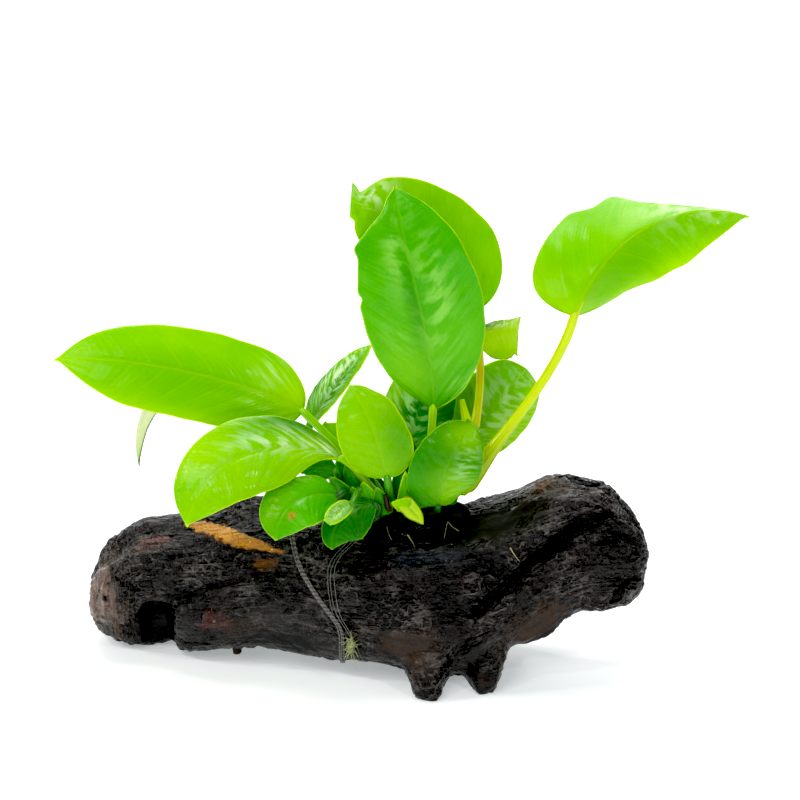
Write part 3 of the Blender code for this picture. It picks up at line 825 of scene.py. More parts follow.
    def crease_depth(self, points: Array) -> Array:
        """Return the grooves and raised lines.

        Each is a bell of the distance to its line, which fades at the line's ends, with fine
        waves of the same distance beside it.
        """
        total = np.zeros(points.shape[:-1])
        broken = 0.8 + 0.4 * Noise(13).at(points / 4.0)
        for crease in self.creases:
            distance, place = self.nearest(points, curve_through(crease.line, 9))
            fade = broken * np.sqrt(np.clip(6.0 * place * (1.0 - place), 0.0, 1.0))
            waves = np.cos(FULL_TURN * distance / self.crease_waves)
            waves = waves * hill(distance, self.crease_reach * crease.width)
            total -= fade * crease.depth * hill(distance, crease.width)
            total += fade * crease.fine * waves
        return total

    def torn_share(self, points: Array) -> Array:
        """Return 1 on the torn golden place, 0 off it, with an edge made ragged by noise."""
        line = curve_through(self.torn, 15)
        distance, place = self.nearest(points, line[:, :2])
        half = np.interp(place, np.linspace(0.0, 1.0, len(line)), line[:, 2])
        ragged = 1.0 + 0.45 * Noise(17).layered(points / self.torn_grain, 2)
        return soft_step(0.22, -0.22, distance - half * ragged)

    def relief(self, x: Array, angle: Array) -> Array:
        """Return how far the bark stands out from the form, in millimetres.

        It is a sum: broad swells, long ledges, fibres drawn out along the log (round it at the
        left end), cells and fine crinkles that are strong in some patches and weak in others,
        the creases, the pits and the wide swells. Smooth places keep little of the small parts.
        """
        points = self.form(x, angle)
        middle_y, middle_z, *_ = self.section(x)
        local = points - stacked(0.0, middle_y, middle_z)
        swell, bend, grain = Noise(3), Noise(5), Noise(8)
        warp = self.bend_height * bend.at(local / self.warp_grain)[..., None]
        warped = local + warp * np.array([0.3, 1.0, 1.0])
        end = soft_step(-70.0, -80.0, x)
        fibres = ((1.0 - end) * grain.ridged(warped / self.long_grain, 3)
                  + end * grain.ridged(warped / self.round_grain, 3))
        crinkle = np.minimum(swell.cells(warped / self.cell_grain), 0.7)
        fine = grain.ridged(warped / self.fine_grain + 11.0, 2)
        ledges = bend.ridged(warped / self.ledge_grain + 4.0, 2)
        patchy = soft_step(-0.25, 0.35, swell.layered(local / self.patch_grain + 6.0, 2))
        rough = 1.0 - self.smooth_share * self.smoothness(x, angle)
        fade = np.clip(np.linalg.norm(local[..., 1:], axis=-1) / self.full_radius, 0.0, 1.0)
        small = (self.fibre_height * (fibres - 0.72) + (0.25 + 0.9 * patchy) * (crinkle - 0.3)
                 + self.fine_height * (0.3 + patchy) * (fine - 0.7))
        torn = self.torn_share(points)
        rough = rough * (1.0 - self.torn_smooth * torn)
        pits = sum(depth * self.bell(x, angle, *place, steep)
                   for *place, depth, steep in self.pits)
        broad = self.swell_height * swell.layered(local / self.swell_grain, 2)
        small = small + self.ledge_height * (ledges - 0.7)
        return fade * (broad + rough * small + self.crease_depth(points)
                       + self.torn_rise * torn - pits + self.swelling(x, angle))

    def surface(self, x: Array, angle: Array, lift: Array | float) -> Array:
        """Return points above the bark itself: the form moved along its normals."""
        away = self.relief(x, angle) + lift
        return self.form(x, angle) + self.normal(x, angle) * away[..., None]

    def grain(self, x: Array, angle: Array) -> Array:
        """Return coordinates in metres whose first one is squeezed along the fibres.

        The fibres run along the log's spokes, and turn to run round it at its left end.
        """
        end = soft_step(-72.0, -80.0, x)
        along = self.fibre_squeeze * x + np.minimum(x + 75.0, 0.0) * (1.0 - self.fibre_squeeze)
        across = self.grain_radius * (1.0 - (1.0 - self.fibre_squeeze) * end)
        return MM * stacked(along, across * np.cos(angle), across * np.sin(angle))

    def shares(self, x: Array, angle: Array, tints: tuple[Tint, ...]) -> Array:
        """Return each tint's strength, its patches' edges broken up by noise."""
        noise = Noise(21)
        points = self.form(x, angle)
        wobble = 0.45 * noise.layered(points / self.tint_grain, 3)
        layers = []
        for tint in tints:
            total = np.zeros_like(x)
            for patch in self.patches:
                if patch.tint is tint:
                    bell = self.bell(x, angle, patch.x, patch.degrees, patch.reach,
                                     patch.degrees_reach)
                    there = soft_step(0.25, 0.75, bell + wobble * (bell > 0.02))
                    total = np.maximum(total, patch.strength * there)
            if tint is Tint.OCHRE:
                total = np.maximum(total, self.torn_share(points))
            layers.append(total)
        return np.stack(layers, axis=-1)

    def build(self, finish: BarkFinish) -> bpy.types.Object:
        """Make the log.

        Its rings are evenly spaced along the outline of the form, and its spokes are closer
        together on the front, by an angle that runs ahead and falls back as a sine.

        Args:
            finish: the bark's finish.

        Returns:
            The log's object.
        """
        rows = curve_through(self.stations, self.outline_rows)
        steps = np.hypot(np.diff(rows[:, 0]), np.diff(rows[:, 4]))
        length = np.concatenate([[0.0], np.cumsum(steps)])
        even = np.linspace(0.0, length[-1], self.rings + 2)[1:-1]
        ring_x = np.interp(even, length, rows[:, 0])
        turn = circle(self.spokes)
        spoke = turn - self.crowding * np.sin(turn - math.radians(self.crowded_degrees))
        x, angle = np.meshgrid(ring_x, spoke, indexing="ij")
        relief = self.relief(x, angle)
        grid = self.form(x, angle) + self.normal(x, angle) * relief[..., None]
        grid[..., 2] = np.maximum(grid[..., 2], 0.0)
        around = 0.25 * sum(np.roll(relief, step, axis) for axis in (0, 1) for step in (3, -3))
        # The crests, which the finish paints pale as wear and as painted glints.
        worn_glint = soft_step(0.15, 0.7, relief - around)
        # Low places, and the pits most of all, get a low height value, which the finish paints
        # darker as shade.
        shade = sum(self.bell(x, angle, *place, steep) for *place, _, steep in self.pits)
        height = soft_step(-1.6, 1.2, relief - self.swelling(x, angle))
        height = height * (1.0 - self.pit_shade * shade)
        values = {"relief": stacked(height, self.smoothness(x, angle), worn_glint),
                  "grain": self.grain(x, angle)}
        for label, tints in TINT_CHANNELS.items():
            values[label] = self.shares(x, angle, tints)
        return add_piece("driftwood_bark", ringed(grid, values), finish.material(), "driftwood",
                         "driftwood")


@dataclass(frozen=True)
class LeafFinish:
    """Waxy living leaf: its colours, its gloss, its streaks of painted sheen and how much light it
    lets through.

    mottle_cells, fine_cells: cells to the metre of the two greens and of the fine roughening.
    streak_cells: cells of the painted sheen streaks, from one vein to the next and across the
    blade.
    """

    body: Color
    light: Color
    deep: Color
    margin: Color
    vein: Color
    young: Color = paint(170, 226, 0)
    # Pale streaks of painted sheen, standing for reflections on the gloss.
    painted_sheen: Color = paint(226, 246, 206)
    roughness: float = 0.24
    spot: Color = paint(196, 130, 10)
    through: float = 0.3
    through_tint: Color = (1.15, 1.0, 0.2, 1.0)
    veins: float = 0.1
    vein_count: int = 9
    fine_veins: int = 36
    gloss: float = 0.32
    mottle_cells: float = 60.0
    fine_cells: float = 900.0
    fine_height: float = 0.00005
    streak_cells: tuple[float, float] = (20.0, 5.0)

    def sheen_streaks(self, graph: Graph, vein: object, across: object) -> Socket:
        """Return streaks of painted sheen from 0 to 1, drawn out along the side veins."""
        by_vein, by_width = self.streak_cells
        place = graph.combined(graph.times(vein, by_vein), graph.times(across, by_width), 0.0)
        return graph.between(graph.noise(1.0, 3.0, place), 0.42, 0.62)

    def spotted(self, graph: Graph, color: object, place: tuple[object, ...],
                spot: Place) -> Socket:
        """Return a colour with a ragged brown spot on it.

        Args:
            graph: the leaf's graph.
            color: the colour under the spot.
            place: the place across and along, and the noise that frays the spot's edge.
            spot: the spot's place across and along, and its radius.

        Returns:
            The colour.
        """
        *at, fray = place
        *middle, radius = spot
        squares = [graph.math("POWER", graph.math("SUBTRACT", here, there), 2.0)
                   for here, there in zip(at, middle)]
        away = graph.plus(graph.math("SQRT", graph.plus(*squares)), graph.times(fray, 0.04))
        return graph.mix(graph.between(away, 1.6 * radius, 0.4 * radius, 0.0, 0.9), color,
                         self.spot)

    def material(self, name: str, spots: Table = ()) -> bpy.types.Material:
        """Return the leaf's material.

        The mesh's "leaf" values give the place across (0 to 1), along, and the side veins'
        own coordinate; "margin" gives millimetres from the midrib and from the margin; "wash"
        gives how young and yellow each place is, how much painted sheen it has, and how deep a
        green it is, partly its own green and partly painted shade.

        Args:
            name: the material's name.
            spots: places across and along, and radii, of brown spots.

        Returns:
            The material.
        """
        graph = Graph(name)
        across, along, vein = graph.value("leaf")
        reach, edge, _ = graph.value("margin")
        young, painted_sheen, deep = graph.value("wash")
        fine = graph.noise(self.fine_cells)
        wave, small_wave = (graph.math("COSINE", graph.times(vein, FULL_TURN * count))
                            for count in (self.vein_count, self.fine_veins))
        line = graph.math("MAXIMUM", graph.between(wave, 0.86, 1.0, 0.0, self.veins),
                          graph.between(small_wave, 0.3, 1.0, 0.0, 0.4 * self.veins))
        mottle = graph.between(graph.noise(self.mottle_cells), 0.35, 0.68)
        color = graph.mix(mottle, self.body, self.light)
        # The deep wash is partly the leaf's own green and partly painted shade; the sheen wash is
        # painted sheen.
        color = graph.coated(
            color, (deep, self.deep), (young, self.young), (line, self.vein),
            (graph.times(painted_sheen, self.sheen_streaks(graph, vein, across)), self.painted_sheen),
            (graph.between(reach, 0.5, 0.2, 0.0, 0.25), self.vein),
            (graph.between(edge, 0.42, 0.16, 0.0, 0.8), self.margin))
        for spot in spots:
            color = self.spotted(graph, color, (across, along, fine), spot)
        rough = graph.between(fine, 0.3, 0.7, self.roughness - 0.05, self.roughness + 0.08)
        waves = graph.plus(fine, graph.times(small_wave, 0.25))
        normal = graph.bump(waves, self.fine_height, 0.7)
        shader = graph.surface(color, rough, normal, self.gloss)
        through = graph.mix(1.0, color, self.through_tint, "MULTIPLY")
        return graph.finish(graph.thin(shader, through, self.through))


class Wash(Enum):
    """What a wash does to a leaf's colour, as its channel in the mesh's values."""

    YOUNG = 0
    # Painted sheen: pale streaks that stand for reflections on the gloss.
    PAINTED_SHEEN = 1
    # A deeper green: partly the leaf's own, partly painted shade.
    DEEP = 2


class LeafTone(Enum):
    """The plant's leaf colours: young to old, then the newest growth and the pale leaf."""

    GOLD = LeafFinish(paint(134, 210, 0), paint(152, 218, 0), paint(106, 190, 0),
                      paint(222, 248, 40), paint(190, 236, 30), painted_sheen=paint(226, 246, 190),
                      gloss=0.18)
    LIME = LeafFinish(paint(124, 204, 0), paint(146, 212, 0), paint(34, 134, 10),
                      paint(214, 244, 50), paint(176, 230, 40))
    GREEN = LeafFinish(paint(72, 180, 0), paint(94, 192, 0), paint(46, 148, 0),
                       paint(196, 240, 50), paint(140, 216, 40), painted_sheen=paint(160, 226, 96))
    DEEP = LeafFinish(paint(38, 138, 0), paint(62, 166, 0), paint(18, 104, 12),
                      paint(150, 216, 40), paint(110, 194, 50), painted_sheen=paint(176, 230, 150))
    FRESH = LeafFinish(paint(196, 236, 30), paint(206, 240, 60), paint(96, 150, 60),
                       paint(120, 150, 30), paint(214, 240, 80))
    PALE = LeafFinish(paint(206, 226, 160), paint(226, 236, 196), paint(176, 206, 110),
                      paint(90, 130, 40), paint(190, 214, 130))


@dataclass(frozen=True)
class StemFinish:
    """A smooth stem: its colours at the rhizome, in the middle and at the blade.

    rust: how much brown streaks it.
    shade_cells, rust_cells, rough_cells: cells to the metre of the noises.
    """

    low: Color
    middle: Color
    high: Color
    roughness: float = 0.28
    rust: float = 0.0
    rusty: Color = paint(196, 120, 10)
    ribs: int = 7
    rib_height: float = 0.00006
    through: float = 0.15
    shade_cells: float = 300.0
    rust_cells: float = 260.0
    rough_cells: float = 700.0

    def material(self, name: str) -> bpy.types.Material:
        """Return the stem's material, shaded along and streaked lengthwise."""
        graph = Graph(name)
        along, around, _ = graph.value("place")
        streak = graph.math("SINE", graph.times(around, FULL_TURN * self.ribs))
        blotchy = graph.plus(streak, graph.noise(self.shade_cells))
        shade = graph.between(blotchy, 0.4, 1.6, 0.0, 0.3)
        long_noise = graph.noise(self.rust_cells, 2.0, graph.stretched((1.0, 1.0, 0.2)))
        color = graph.coated(
            self.low, (graph.between(along, 0.05, 0.3), self.middle),
            (graph.between(along, 0.35, 0.6), self.high), (shade, self.low),
            (graph.between(long_noise, 0.5, 0.64, 0.0, self.rust), self.rusty))
        rough = graph.plus(streak, graph.noise(self.rough_cells))
        normal = graph.bump(rough, self.rib_height, 0.6)
        shader = graph.surface(color, self.roughness, normal)
        return graph.finish(graph.thin(shader, color, self.through))


class StemTone(Enum):
    """The plant's stem colours."""

    YELLOW = StemFinish(paint(176, 206, 0), paint(214, 232, 0), paint(206, 230, 0))
    BRIGHT = StemFinish(paint(120, 190, 0), paint(170, 228, 0), paint(184, 238, 0))
    RUSTY = StemFinish(paint(170, 196, 0), paint(222, 228, 0), paint(214, 230, 0), rust=0.3)
    LIME = StemFinish(paint(96, 160, 10), paint(150, 218, 0), paint(150, 218, 0))
    GREEN = StemFinish(paint(34, 92, 8), paint(80, 168, 4), paint(100, 190, 4))
    DARK = StemFinish(paint(22, 60, 8), paint(40, 104, 10), paint(76, 160, 10))


@dataclass(frozen=True)
class Leaf:
    """One leaf: where its stem leaves the rhizome, its midrib, and the form of its blade.

    root: x and degrees round the rhizome (0 back, 90 up, 180 front).
    bends: the stem's two inner Bezier corners.
    midrib: the four Bezier corners from the blade's base to its tip.
    face: the way that the upper side faces.
    shoulder, point, drawn: how round the base is, how full the outer half is, and how long the
    tip is drawn out.
    left_fold, right_fold: the rise of each half from the midrib, at the base and at the tip.
    cup: the rise of both margins, as a share of the width.
    ruffle, waves: heights of the even and the uneven waves along the margin.
    tip_width: the least width at the tip, as a share of the width.
    slant: millimetres by which the right side of the tip reaches ahead and the left one back.
    left, right: factors on the halves' widths.
    bumps: changes of the half width as side (-1 or 1), along, reach and millimetres.
    spots: brown spots as across and along (0 to 1) and radius.
    washes: changes of the colour as kind, across, along, their reaches, and strength.
    wings: how much the stem's sheath widens to both sides at its foot.
    """

    name: str
    tone: LeafTone
    stem_tone: StemTone
    root: Place
    bends: Table
    midrib: Table
    width: float
    face: Place
    shoulder: float = 0.55
    point: float = 0.75
    drawn: float = 0.03
    cup: float = 0.0
    left_fold: Numbers = (0.0, 0.0)
    right_fold: Numbers = (0.0, 0.0)
    ruffle: float = 0.0
    tip_width: float = 0.03
    slant: float = 0.0
    left: float = 1.0
    right: float = 1.0
    stem_width: float = 2.4
    bumps: Table = ()
    waves: float = 0.5
    spots: Table = ()
    washes: tuple[tuple[Wash, float, float, float, float, float], ...] = ()
    wings: float = 0.5


LEAVES = (
    Leaf("far_left", LeafTone.GOLD, StemTone.LIME, (-5, 90),
         ((-8, -5, 57), (-19, -3.4, 66)),
         ((-26, -3, 73.5), (-37, -6, 82), (-72, -9, 92), (-91.3, -6, 88.8)),
         24.8, (0.1, -0.85, 0.5), shoulder=0.5, point=0.6, drawn=0.07, cup=-0.12,
         bumps=((1, 0.2, 0.12, 1.1), (-1, 0.72, 0.14, 0.8)),
         washes=((Wash.YOUNG, 0.4, 0.06, 0.6, 0.09, 1), (Wash.PAINTED_SHEEN, 0.6, 0.2, 0.3, 0.05, 0.5),
                 (Wash.YOUNG, -1, 0.5, 0.2, 0.5, 0.6), (Wash.YOUNG, 0, 1, 1.5, 0.14, 0.5),
                 (Wash.DEEP, -0.2, 0.5, 0.6, 0.35, 0.6))),
    Leaf("lower_left", LeafTone.LIME, StemTone.LIME, (-6.6, 126),
         ((-6.6, -10.8, 53), (-10.8, -10.2, 60.2)),
         ((-15.5, -10.5, 62.8), (-28, -16, 70), (-51, -26, 73), (-55.3, -30, 50.8)),
         22, (-0.1, -0.8, 0.6), shoulder=0.85, point=0.65, cup=-0.1,
         bumps=((-1, 0.15, 0.12, -2.6),),
         washes=((Wash.YOUNG, 0.8, 0.72, 0.5, 0.14, 0.7), (Wash.YOUNG, 0.2, 1, 0.9, 0.16, 0.5),
                 (Wash.DEEP, 0.9, 0.24, 0.35, 0.2, 0.9), (Wash.PAINTED_SHEEN, 0.2, 0.1, 0.5, 0.13, 1),
                 (Wash.PAINTED_SHEEN, 0.3, 0.36, 0.4, 0.2, 0.7), (Wash.YOUNG, -0.3, 0.5, 0.6, 0.3, 0.25)),
         wings=1.2),
    Leaf("front_spotted", LeafTone.GREEN, StemTone.DARK, (-14.6, 130),
         ((-14.6, -12.2, 52.5), (-13.2, -14.5, 56.6)),
         ((-16.5, -17, 54.6), (-23, -22, 58), (-31.6, -27, 57.6),
          (-32.4, -28, 46.2)),
         17, (-0.1, -0.75, 0.65), shoulder=0.6, point=0.6, spots=((0.36, 0.7, 0.07),),
         bumps=((1, 0.38, 0.2, -1.9),),
         washes=((Wash.YOUNG, 0.6, 0.75, 0.6, 0.25, 0.35), (Wash.PAINTED_SHEEN, 0.9, 0.3, 0.2, 0.2, 0.7)),
         wings=1),
    Leaf("front_dark", LeafTone.DEEP, StemTone.DARK, (-6.8, 172),
         ((-6.8, -12.2, 46), (-4.6, -12.8, 49.2)),
         ((-6.5, -14, 51), (-12, -16.5, 51.6), (-19.3, -19.5, 48), (-17.9, -21, 40.9)),
         15, (0, -0.8, 0.6), shoulder=0.6, point=0.6, right_fold=(-0.5, -0.3), right=0.6,
         washes=((Wash.PAINTED_SHEEN, 0.3, 0.3, 0.6, 0.2, 0.25),), wings=1.2),
    Leaf("small_round", LeafTone.DEEP, StemTone.DARK, (-16.3, 98),
         ((-17, -8, 54), (-15.2, -8, 57.8)),
         ((-17.5, -9.5, 58.9), (-20, -10, 60.2), (-23.5, -10.5, 60.4), (-26.5, -11, 59.4)),
         7, (0, -0.9, 0.4), tip_width=0.3, stem_width=1.8, wings=1.6),
    Leaf("small_rolled", LeafTone.LIME, StemTone.DARK, (-11.8, 122),
         ((-11.4, -10.5, 55.5), (-9.6, -16.5, 58.5)),
         ((-12.8, -23, 54.5), (-14.8, -24.9, 54.2), (-17, -27.2, 53.2), (-19, -29, 51.5)),
         4.9, (0.1, -0.8, 0.6), shoulder=0.4, point=0.35, cup=0.25, tip_width=0.5,
         stem_width=1.6, wings=0.8,
         washes=((Wash.PAINTED_SHEEN, 0.2, 0.6, 0.8, 0.6, 0.7), (Wash.DEEP, -0.6, 0.2, 0.6, 0.4, 0.5))),
    Leaf("narrow_back", LeafTone.LIME, StemTone.GREEN, (-12.6, 62),
         ((-14.5, -2, 53), (-28, 5, 58)),
         ((-24.4, 8, 66.6), (-20.8, 10, 73), (-13, 13, 81.3), (-7.6, 15, 86.8)),
         11.5, (-0.8, -0.55, 0.3), shoulder=0.5, left_fold=(0.2, 0.2), right_fold=(0.2, 0.2),
         washes=((Wash.PAINTED_SHEEN, -0.5, 0.6, 0.6, 0.4, 1), (Wash.PAINTED_SHEEN, 0.4, 0.3, 0.3, 0.3, 0.8),
                 (Wash.DEEP, 0.2, 0.4, 0.7, 0.5, 0.9), (Wash.DEEP, -0.9, 0.3, 0.3, 0.3, 0.8))),
    Leaf("centre_left", LeafTone.LIME, StemTone.GREEN, (-2.3, 125),
         ((-2.4, -11, 52), (-3, -12, 54.5)),
         ((-3.4, -12, 57.9), (-4.5, -13, 64.4), (-8.5, -11.5, 76.8), (-13.2, -7.5, 82.4)),
         19.5, (-0.1, -0.95, 0.3), shoulder=0.5, point=0.6, cup=0.06,
         bumps=((1, 0.86, 0.12, -1.7), (1, 0.58, 0.2, -1.1)),
         washes=((Wash.YOUNG, -0.6, 0.55, 0.5, 0.4, 0.4), (Wash.DEEP, 0.7, 0.35, 0.5, 0.35, 0.45))),
    Leaf("tall_front", LeafTone.GREEN, StemTone.BRIGHT, (7.5, 98),
         ((7.5, -6, 58), (8.4, -3.5, 66)),
         ((8.8, -4, 74.6), (9.5, -8, 93), (1.5, -9, 116), (-1.4, 0, 134.4)),
         33.5, (0, -1, 0.15), shoulder=0.72, cup=0.04, ruffle=0.6, left=0.93,
         bumps=((-1, 0.9, 0.05, -2.4), (-1, 0.78, 0.035, 1.9), (-1, 0.57, 0.02, -1)),
         washes=((Wash.PAINTED_SHEEN, 0.3, 0.5, 0.35, 0.3, 0.7), (Wash.PAINTED_SHEEN, -0.25, 0.72, 0.25, 0.16, 0.7),
                 (Wash.PAINTED_SHEEN, 0.85, 0.14, 0.3, 0.07, 1), (Wash.YOUNG, -0.5, 0.2, 0.6, 0.16, 0.3),
                 (Wash.PAINTED_SHEEN, -0.5, 0.38, 0.3, 0.1, 0.4), (Wash.DEEP, -0.1, 0.5, 0.15, 0.2, 0.7))),
    Leaf("tall_back", LeafTone.GOLD, StemTone.RUSTY, (14.6, 66),
         ((22, 4, 66), (24, 12.5, 84)),
         ((19, 11.5, 97), (19.5, 9, 110), (1, 7, 122.5), (-13, 5, 129.5)),
         30.5, (0.1, -0.95, 0.3), shoulder=0.62, point=0.6, cup=0.03, tip_width=0.3, slant=1.5,
         left=0.92, bumps=((1, 0.94, 0.035, -1.6), (1, 0.3, 0.2, 0.8), (-1, 0.93, 0.05, 0.9)),
         washes=((Wash.PAINTED_SHEEN, 0.5, 0.9, 0.4, 0.08, 1), (Wash.DEEP, 0.2, 0.5, 0.6, 0.3, 0.3))),
    Leaf("right_cut", LeafTone.FRESH, StemTone.LIME, (10.6, 36),
         ((8, 12, 53), (14, 20, 74)),
         ((20.8, 21, 87.6), (24, 21.5, 88.2), (28.5, 22, 88.9), (32.3, 22, 89.6)),
         12, (0.1, -0.95, 0.3), shoulder=0.5, point=0.3, left_fold=(-0.6, -0.6),
         right_fold=(-0.2, -0.2), tip_width=1, slant=-1.5, left=0.55, right=1.4, stem_width=2,
         washes=((Wash.DEEP, -0.7, 0.3, 0.45, 0.5, 1), (Wash.PAINTED_SHEEN, -0.6, 0.8, 0.4, 0.4, 0.8))),
    Leaf("right_middle", LeafTone.LIME, StemTone.LIME, (16.8, 46),
         ((17, 4, 51), (14.6, 7.4, 53.6)),
         ((16.4, 8.5, 57), (19.8, 11, 63), (28.5, 14, 73), (34.7, 15, 79.8)),
         21, (0.15, -0.9, 0.4), shoulder=0.5, point=0.42, drawn=0.015,
         washes=((Wash.PAINTED_SHEEN, 0.2, 0.6, 0.8, 0.5, 0.5), (Wash.YOUNG, 0.8, 0.5, 0.5, 0.6, 0.8),
                 (Wash.DEEP, -0.6, 0.3, 0.6, 0.4, 0.5))),
    Leaf("centre_right", LeafTone.DEEP, StemTone.DARK, (9.6, 150),
         ((9.8, -9.5, 48.6), (10.2, -12, 47.8)),
         ((10.2, -12.6, 50.2), (9.6, -16.5, 57), (13, -16, 66), (19.4, -13, 73.4)),
         19, (-0.05, -0.95, 0.3), shoulder=0.3, point=0.42, tip_width=0.25, cup=-0.05,
         bumps=((1, 0.16, 0.24, -3.3),),
         stem_width=2, washes=((Wash.PAINTED_SHEEN, 0.5, 0.6, 0.4, 0.25, 0.6),
                                 (Wash.YOUNG, 0.5, 0.3, 0.7, 0.3, 0.6),
                                 (Wash.YOUNG, 0.1, 0.92, 0.9, 0.22, 0.6))),
    Leaf("centre_dark", LeafTone.DEEP, StemTone.DARK, (3.8, 66),
         ((3.9, -2.5, 51.5), (2.8, 2, 53.5)),
         ((2.6, 3, 57), (2, 5, 65), (7, 8, 78), (12.5, 11, 86)),
         19.5, (-0.05, -0.95, 0.3), shoulder=0.5, point=0.6,
         washes=((Wash.PAINTED_SHEEN, -0.3, 0.5, 0.7, 0.5, 1), (Wash.YOUNG, -0.8, 0.65, 0.35, 0.35, 0.9)),
         wings=1.5),
    Leaf("peeking_left", LeafTone.GOLD, StemTone.DARK, (-3, 60),
         ((-3.6, -2, 51.5), (-6.5, -1.5, 54.5)),
         ((-8.5, -0.5, 57), (-11.5, 1.5, 61), (-16.5, 4, 64), (-21, 5, 67.2)),
         9.5, (0.3, -0.85, 0.4), tip_width=0.25, stem_width=1.8, wings=1.5),
    Leaf("new_shoot", LeafTone.FRESH, StemTone.YELLOW, (4.4, 165),
         ((4.5, -11.5, 46.6), (-1.5, -12.5, 52)),
         ((-0.5, -14.5, 52), (1.5, -16.5, 52.4), (4.2, -18, 50.2), (6.2, -19, 47.2)),
         4.6, (0.1, -0.8, 0.6), stem_width=1.4, bumps=((-1, 0.25, 0.14, 0.5), (1, 0.62, 0.16, 0.3)),
         washes=((Wash.YOUNG, -0.4, 0.5, 0.5, 1, 0.5), (Wash.DEEP, 0, 0.5, 0.12, 0.4, 0.8))),
    Leaf("far_right", LeafTone.GOLD, StemTone.YELLOW, (16.8, 108),
         ((23, -4.4, 63.5), (41.5, -2, 81)),
         ((46, -2, 99.5), (50, -4, 113), (64, -4, 134.5), (92, 4, 125.2)),
         34, (-0.05, -0.9, 0.4), shoulder=0.38, point=0.6, drawn=0.04,
         left_fold=(0.1, -2.8), right_fold=(-1.7, 0.2), left=1.26, right=0.93, stem_width=2.8,
         bumps=((-1, 0.56, 0.08, 7), (-1, 0.37, 0.09, 2.6), (-1, 0.84, 0.13, -7.2),
                (-1, 0.15, 0.15, -1.2), (1, 0.75, 0.1, 0.8), (1, 0.25, 0.15, -0.9)),
         washes=((Wash.PAINTED_SHEEN, -0.6, 0.86, 0.7, 0.2, 1), (Wash.YOUNG, 1, 0.5, 0.22, 0.6, 1),
                 (Wash.YOUNG, 0, 0.02, 1.5, 0.08, 0.6), (Wash.DEEP, 0.3, 0.45, 0.5, 0.35, 0.9),
                 (Wash.DEEP, -0.5, 0.35, 0.6, 0.2, 0.5)), wings=0.6),
    Leaf("back_drooping", LeafTone.PALE, StemTone.LIME, (-15.6, 36),
         ((-18.5, 3.5, 47), (-29, 13.5, 58)),
         ((-38, 14, 69), (-50, 20, 80), (-76, 25, 77), (-73.5, 26, 47.5)),
         9, (-0.5, -0.6, 0.6), left_fold=(-0.3, -0.3), right_fold=(-0.3, -0.3), right=0.8),
)


def scale(tone: LeafTone, base: Place, tip: Place, width: float, lean: float = 0.0) -> Leaf:
    """Return one of the sheathing scales between the stems' feet, as a small cupped leaf."""
    low, high = np.array(base), np.array(tip)
    side = np.array([lean, -0.8, 0.0])
    midrib = tuple(tuple(low + t * (high - low) + bulge * side)
                   for t, bulge in ((0.0, 0.0), (0.35, 1.0), (0.7, 0.9), (1.0, 0.0)))
    return Leaf("scale", tone, StemTone.GREEN, (0.0, 90.0), (), midrib, width,
                (lean, -1.0, 0.1), shoulder=0.12, point=0.6, cup=-0.35, stem_width=0.6 * width,
                waves=1.0)


SCALES = (
    scale(LeafTone.DEEP, (-9, -8.6, 48.5), (-14, -9, 61.5), 8.5, -0.3),
    scale(LeafTone.DEEP, (-10, -6.6, 49), (-11.8, -6.6, 63.5), 9, -0.2),
    scale(LeafTone.DEEP, (-12.5, -9, 48.5), (-18.5, -10, 57.5), 6.5, -0.4),
    scale(LeafTone.DEEP, (-12.5, -7, 49), (-15.8, -7, 63.5), 8.5, -0.2),
    scale(LeafTone.GREEN, (-6.5, -11, 47.5), (-10, -12.6, 57), 5.5, -0.2),
    scale(LeafTone.DEEP, (-9.5, -11, 47.5), (-12.8, -12.4, 55.5), 5, -0.2),
    scale(LeafTone.DEEP, (-4, -11.5, 47), (-6.2, -13, 55.5), 5, 0),
    scale(LeafTone.DEEP, (2.2, -8, 48), (2.2, -7.6, 69), 9, 0.1),
    scale(LeafTone.GREEN, (0.6, -10.5, 47.5), (1.4, -12.8, 60), 3.4, 0.1),
    scale(LeafTone.DEEP, (5.5, -9, 48), (5, -9.5, 61), 6, 0.2),
    scale(LeafTone.DEEP, (12.5, -6, 48), (14.5, -7, 57), 6, 0.3),
    scale(LeafTone.GOLD, (2.6, -16.6, 51.4), (-2.2, -15, 51.8), 4.2, -0.1))


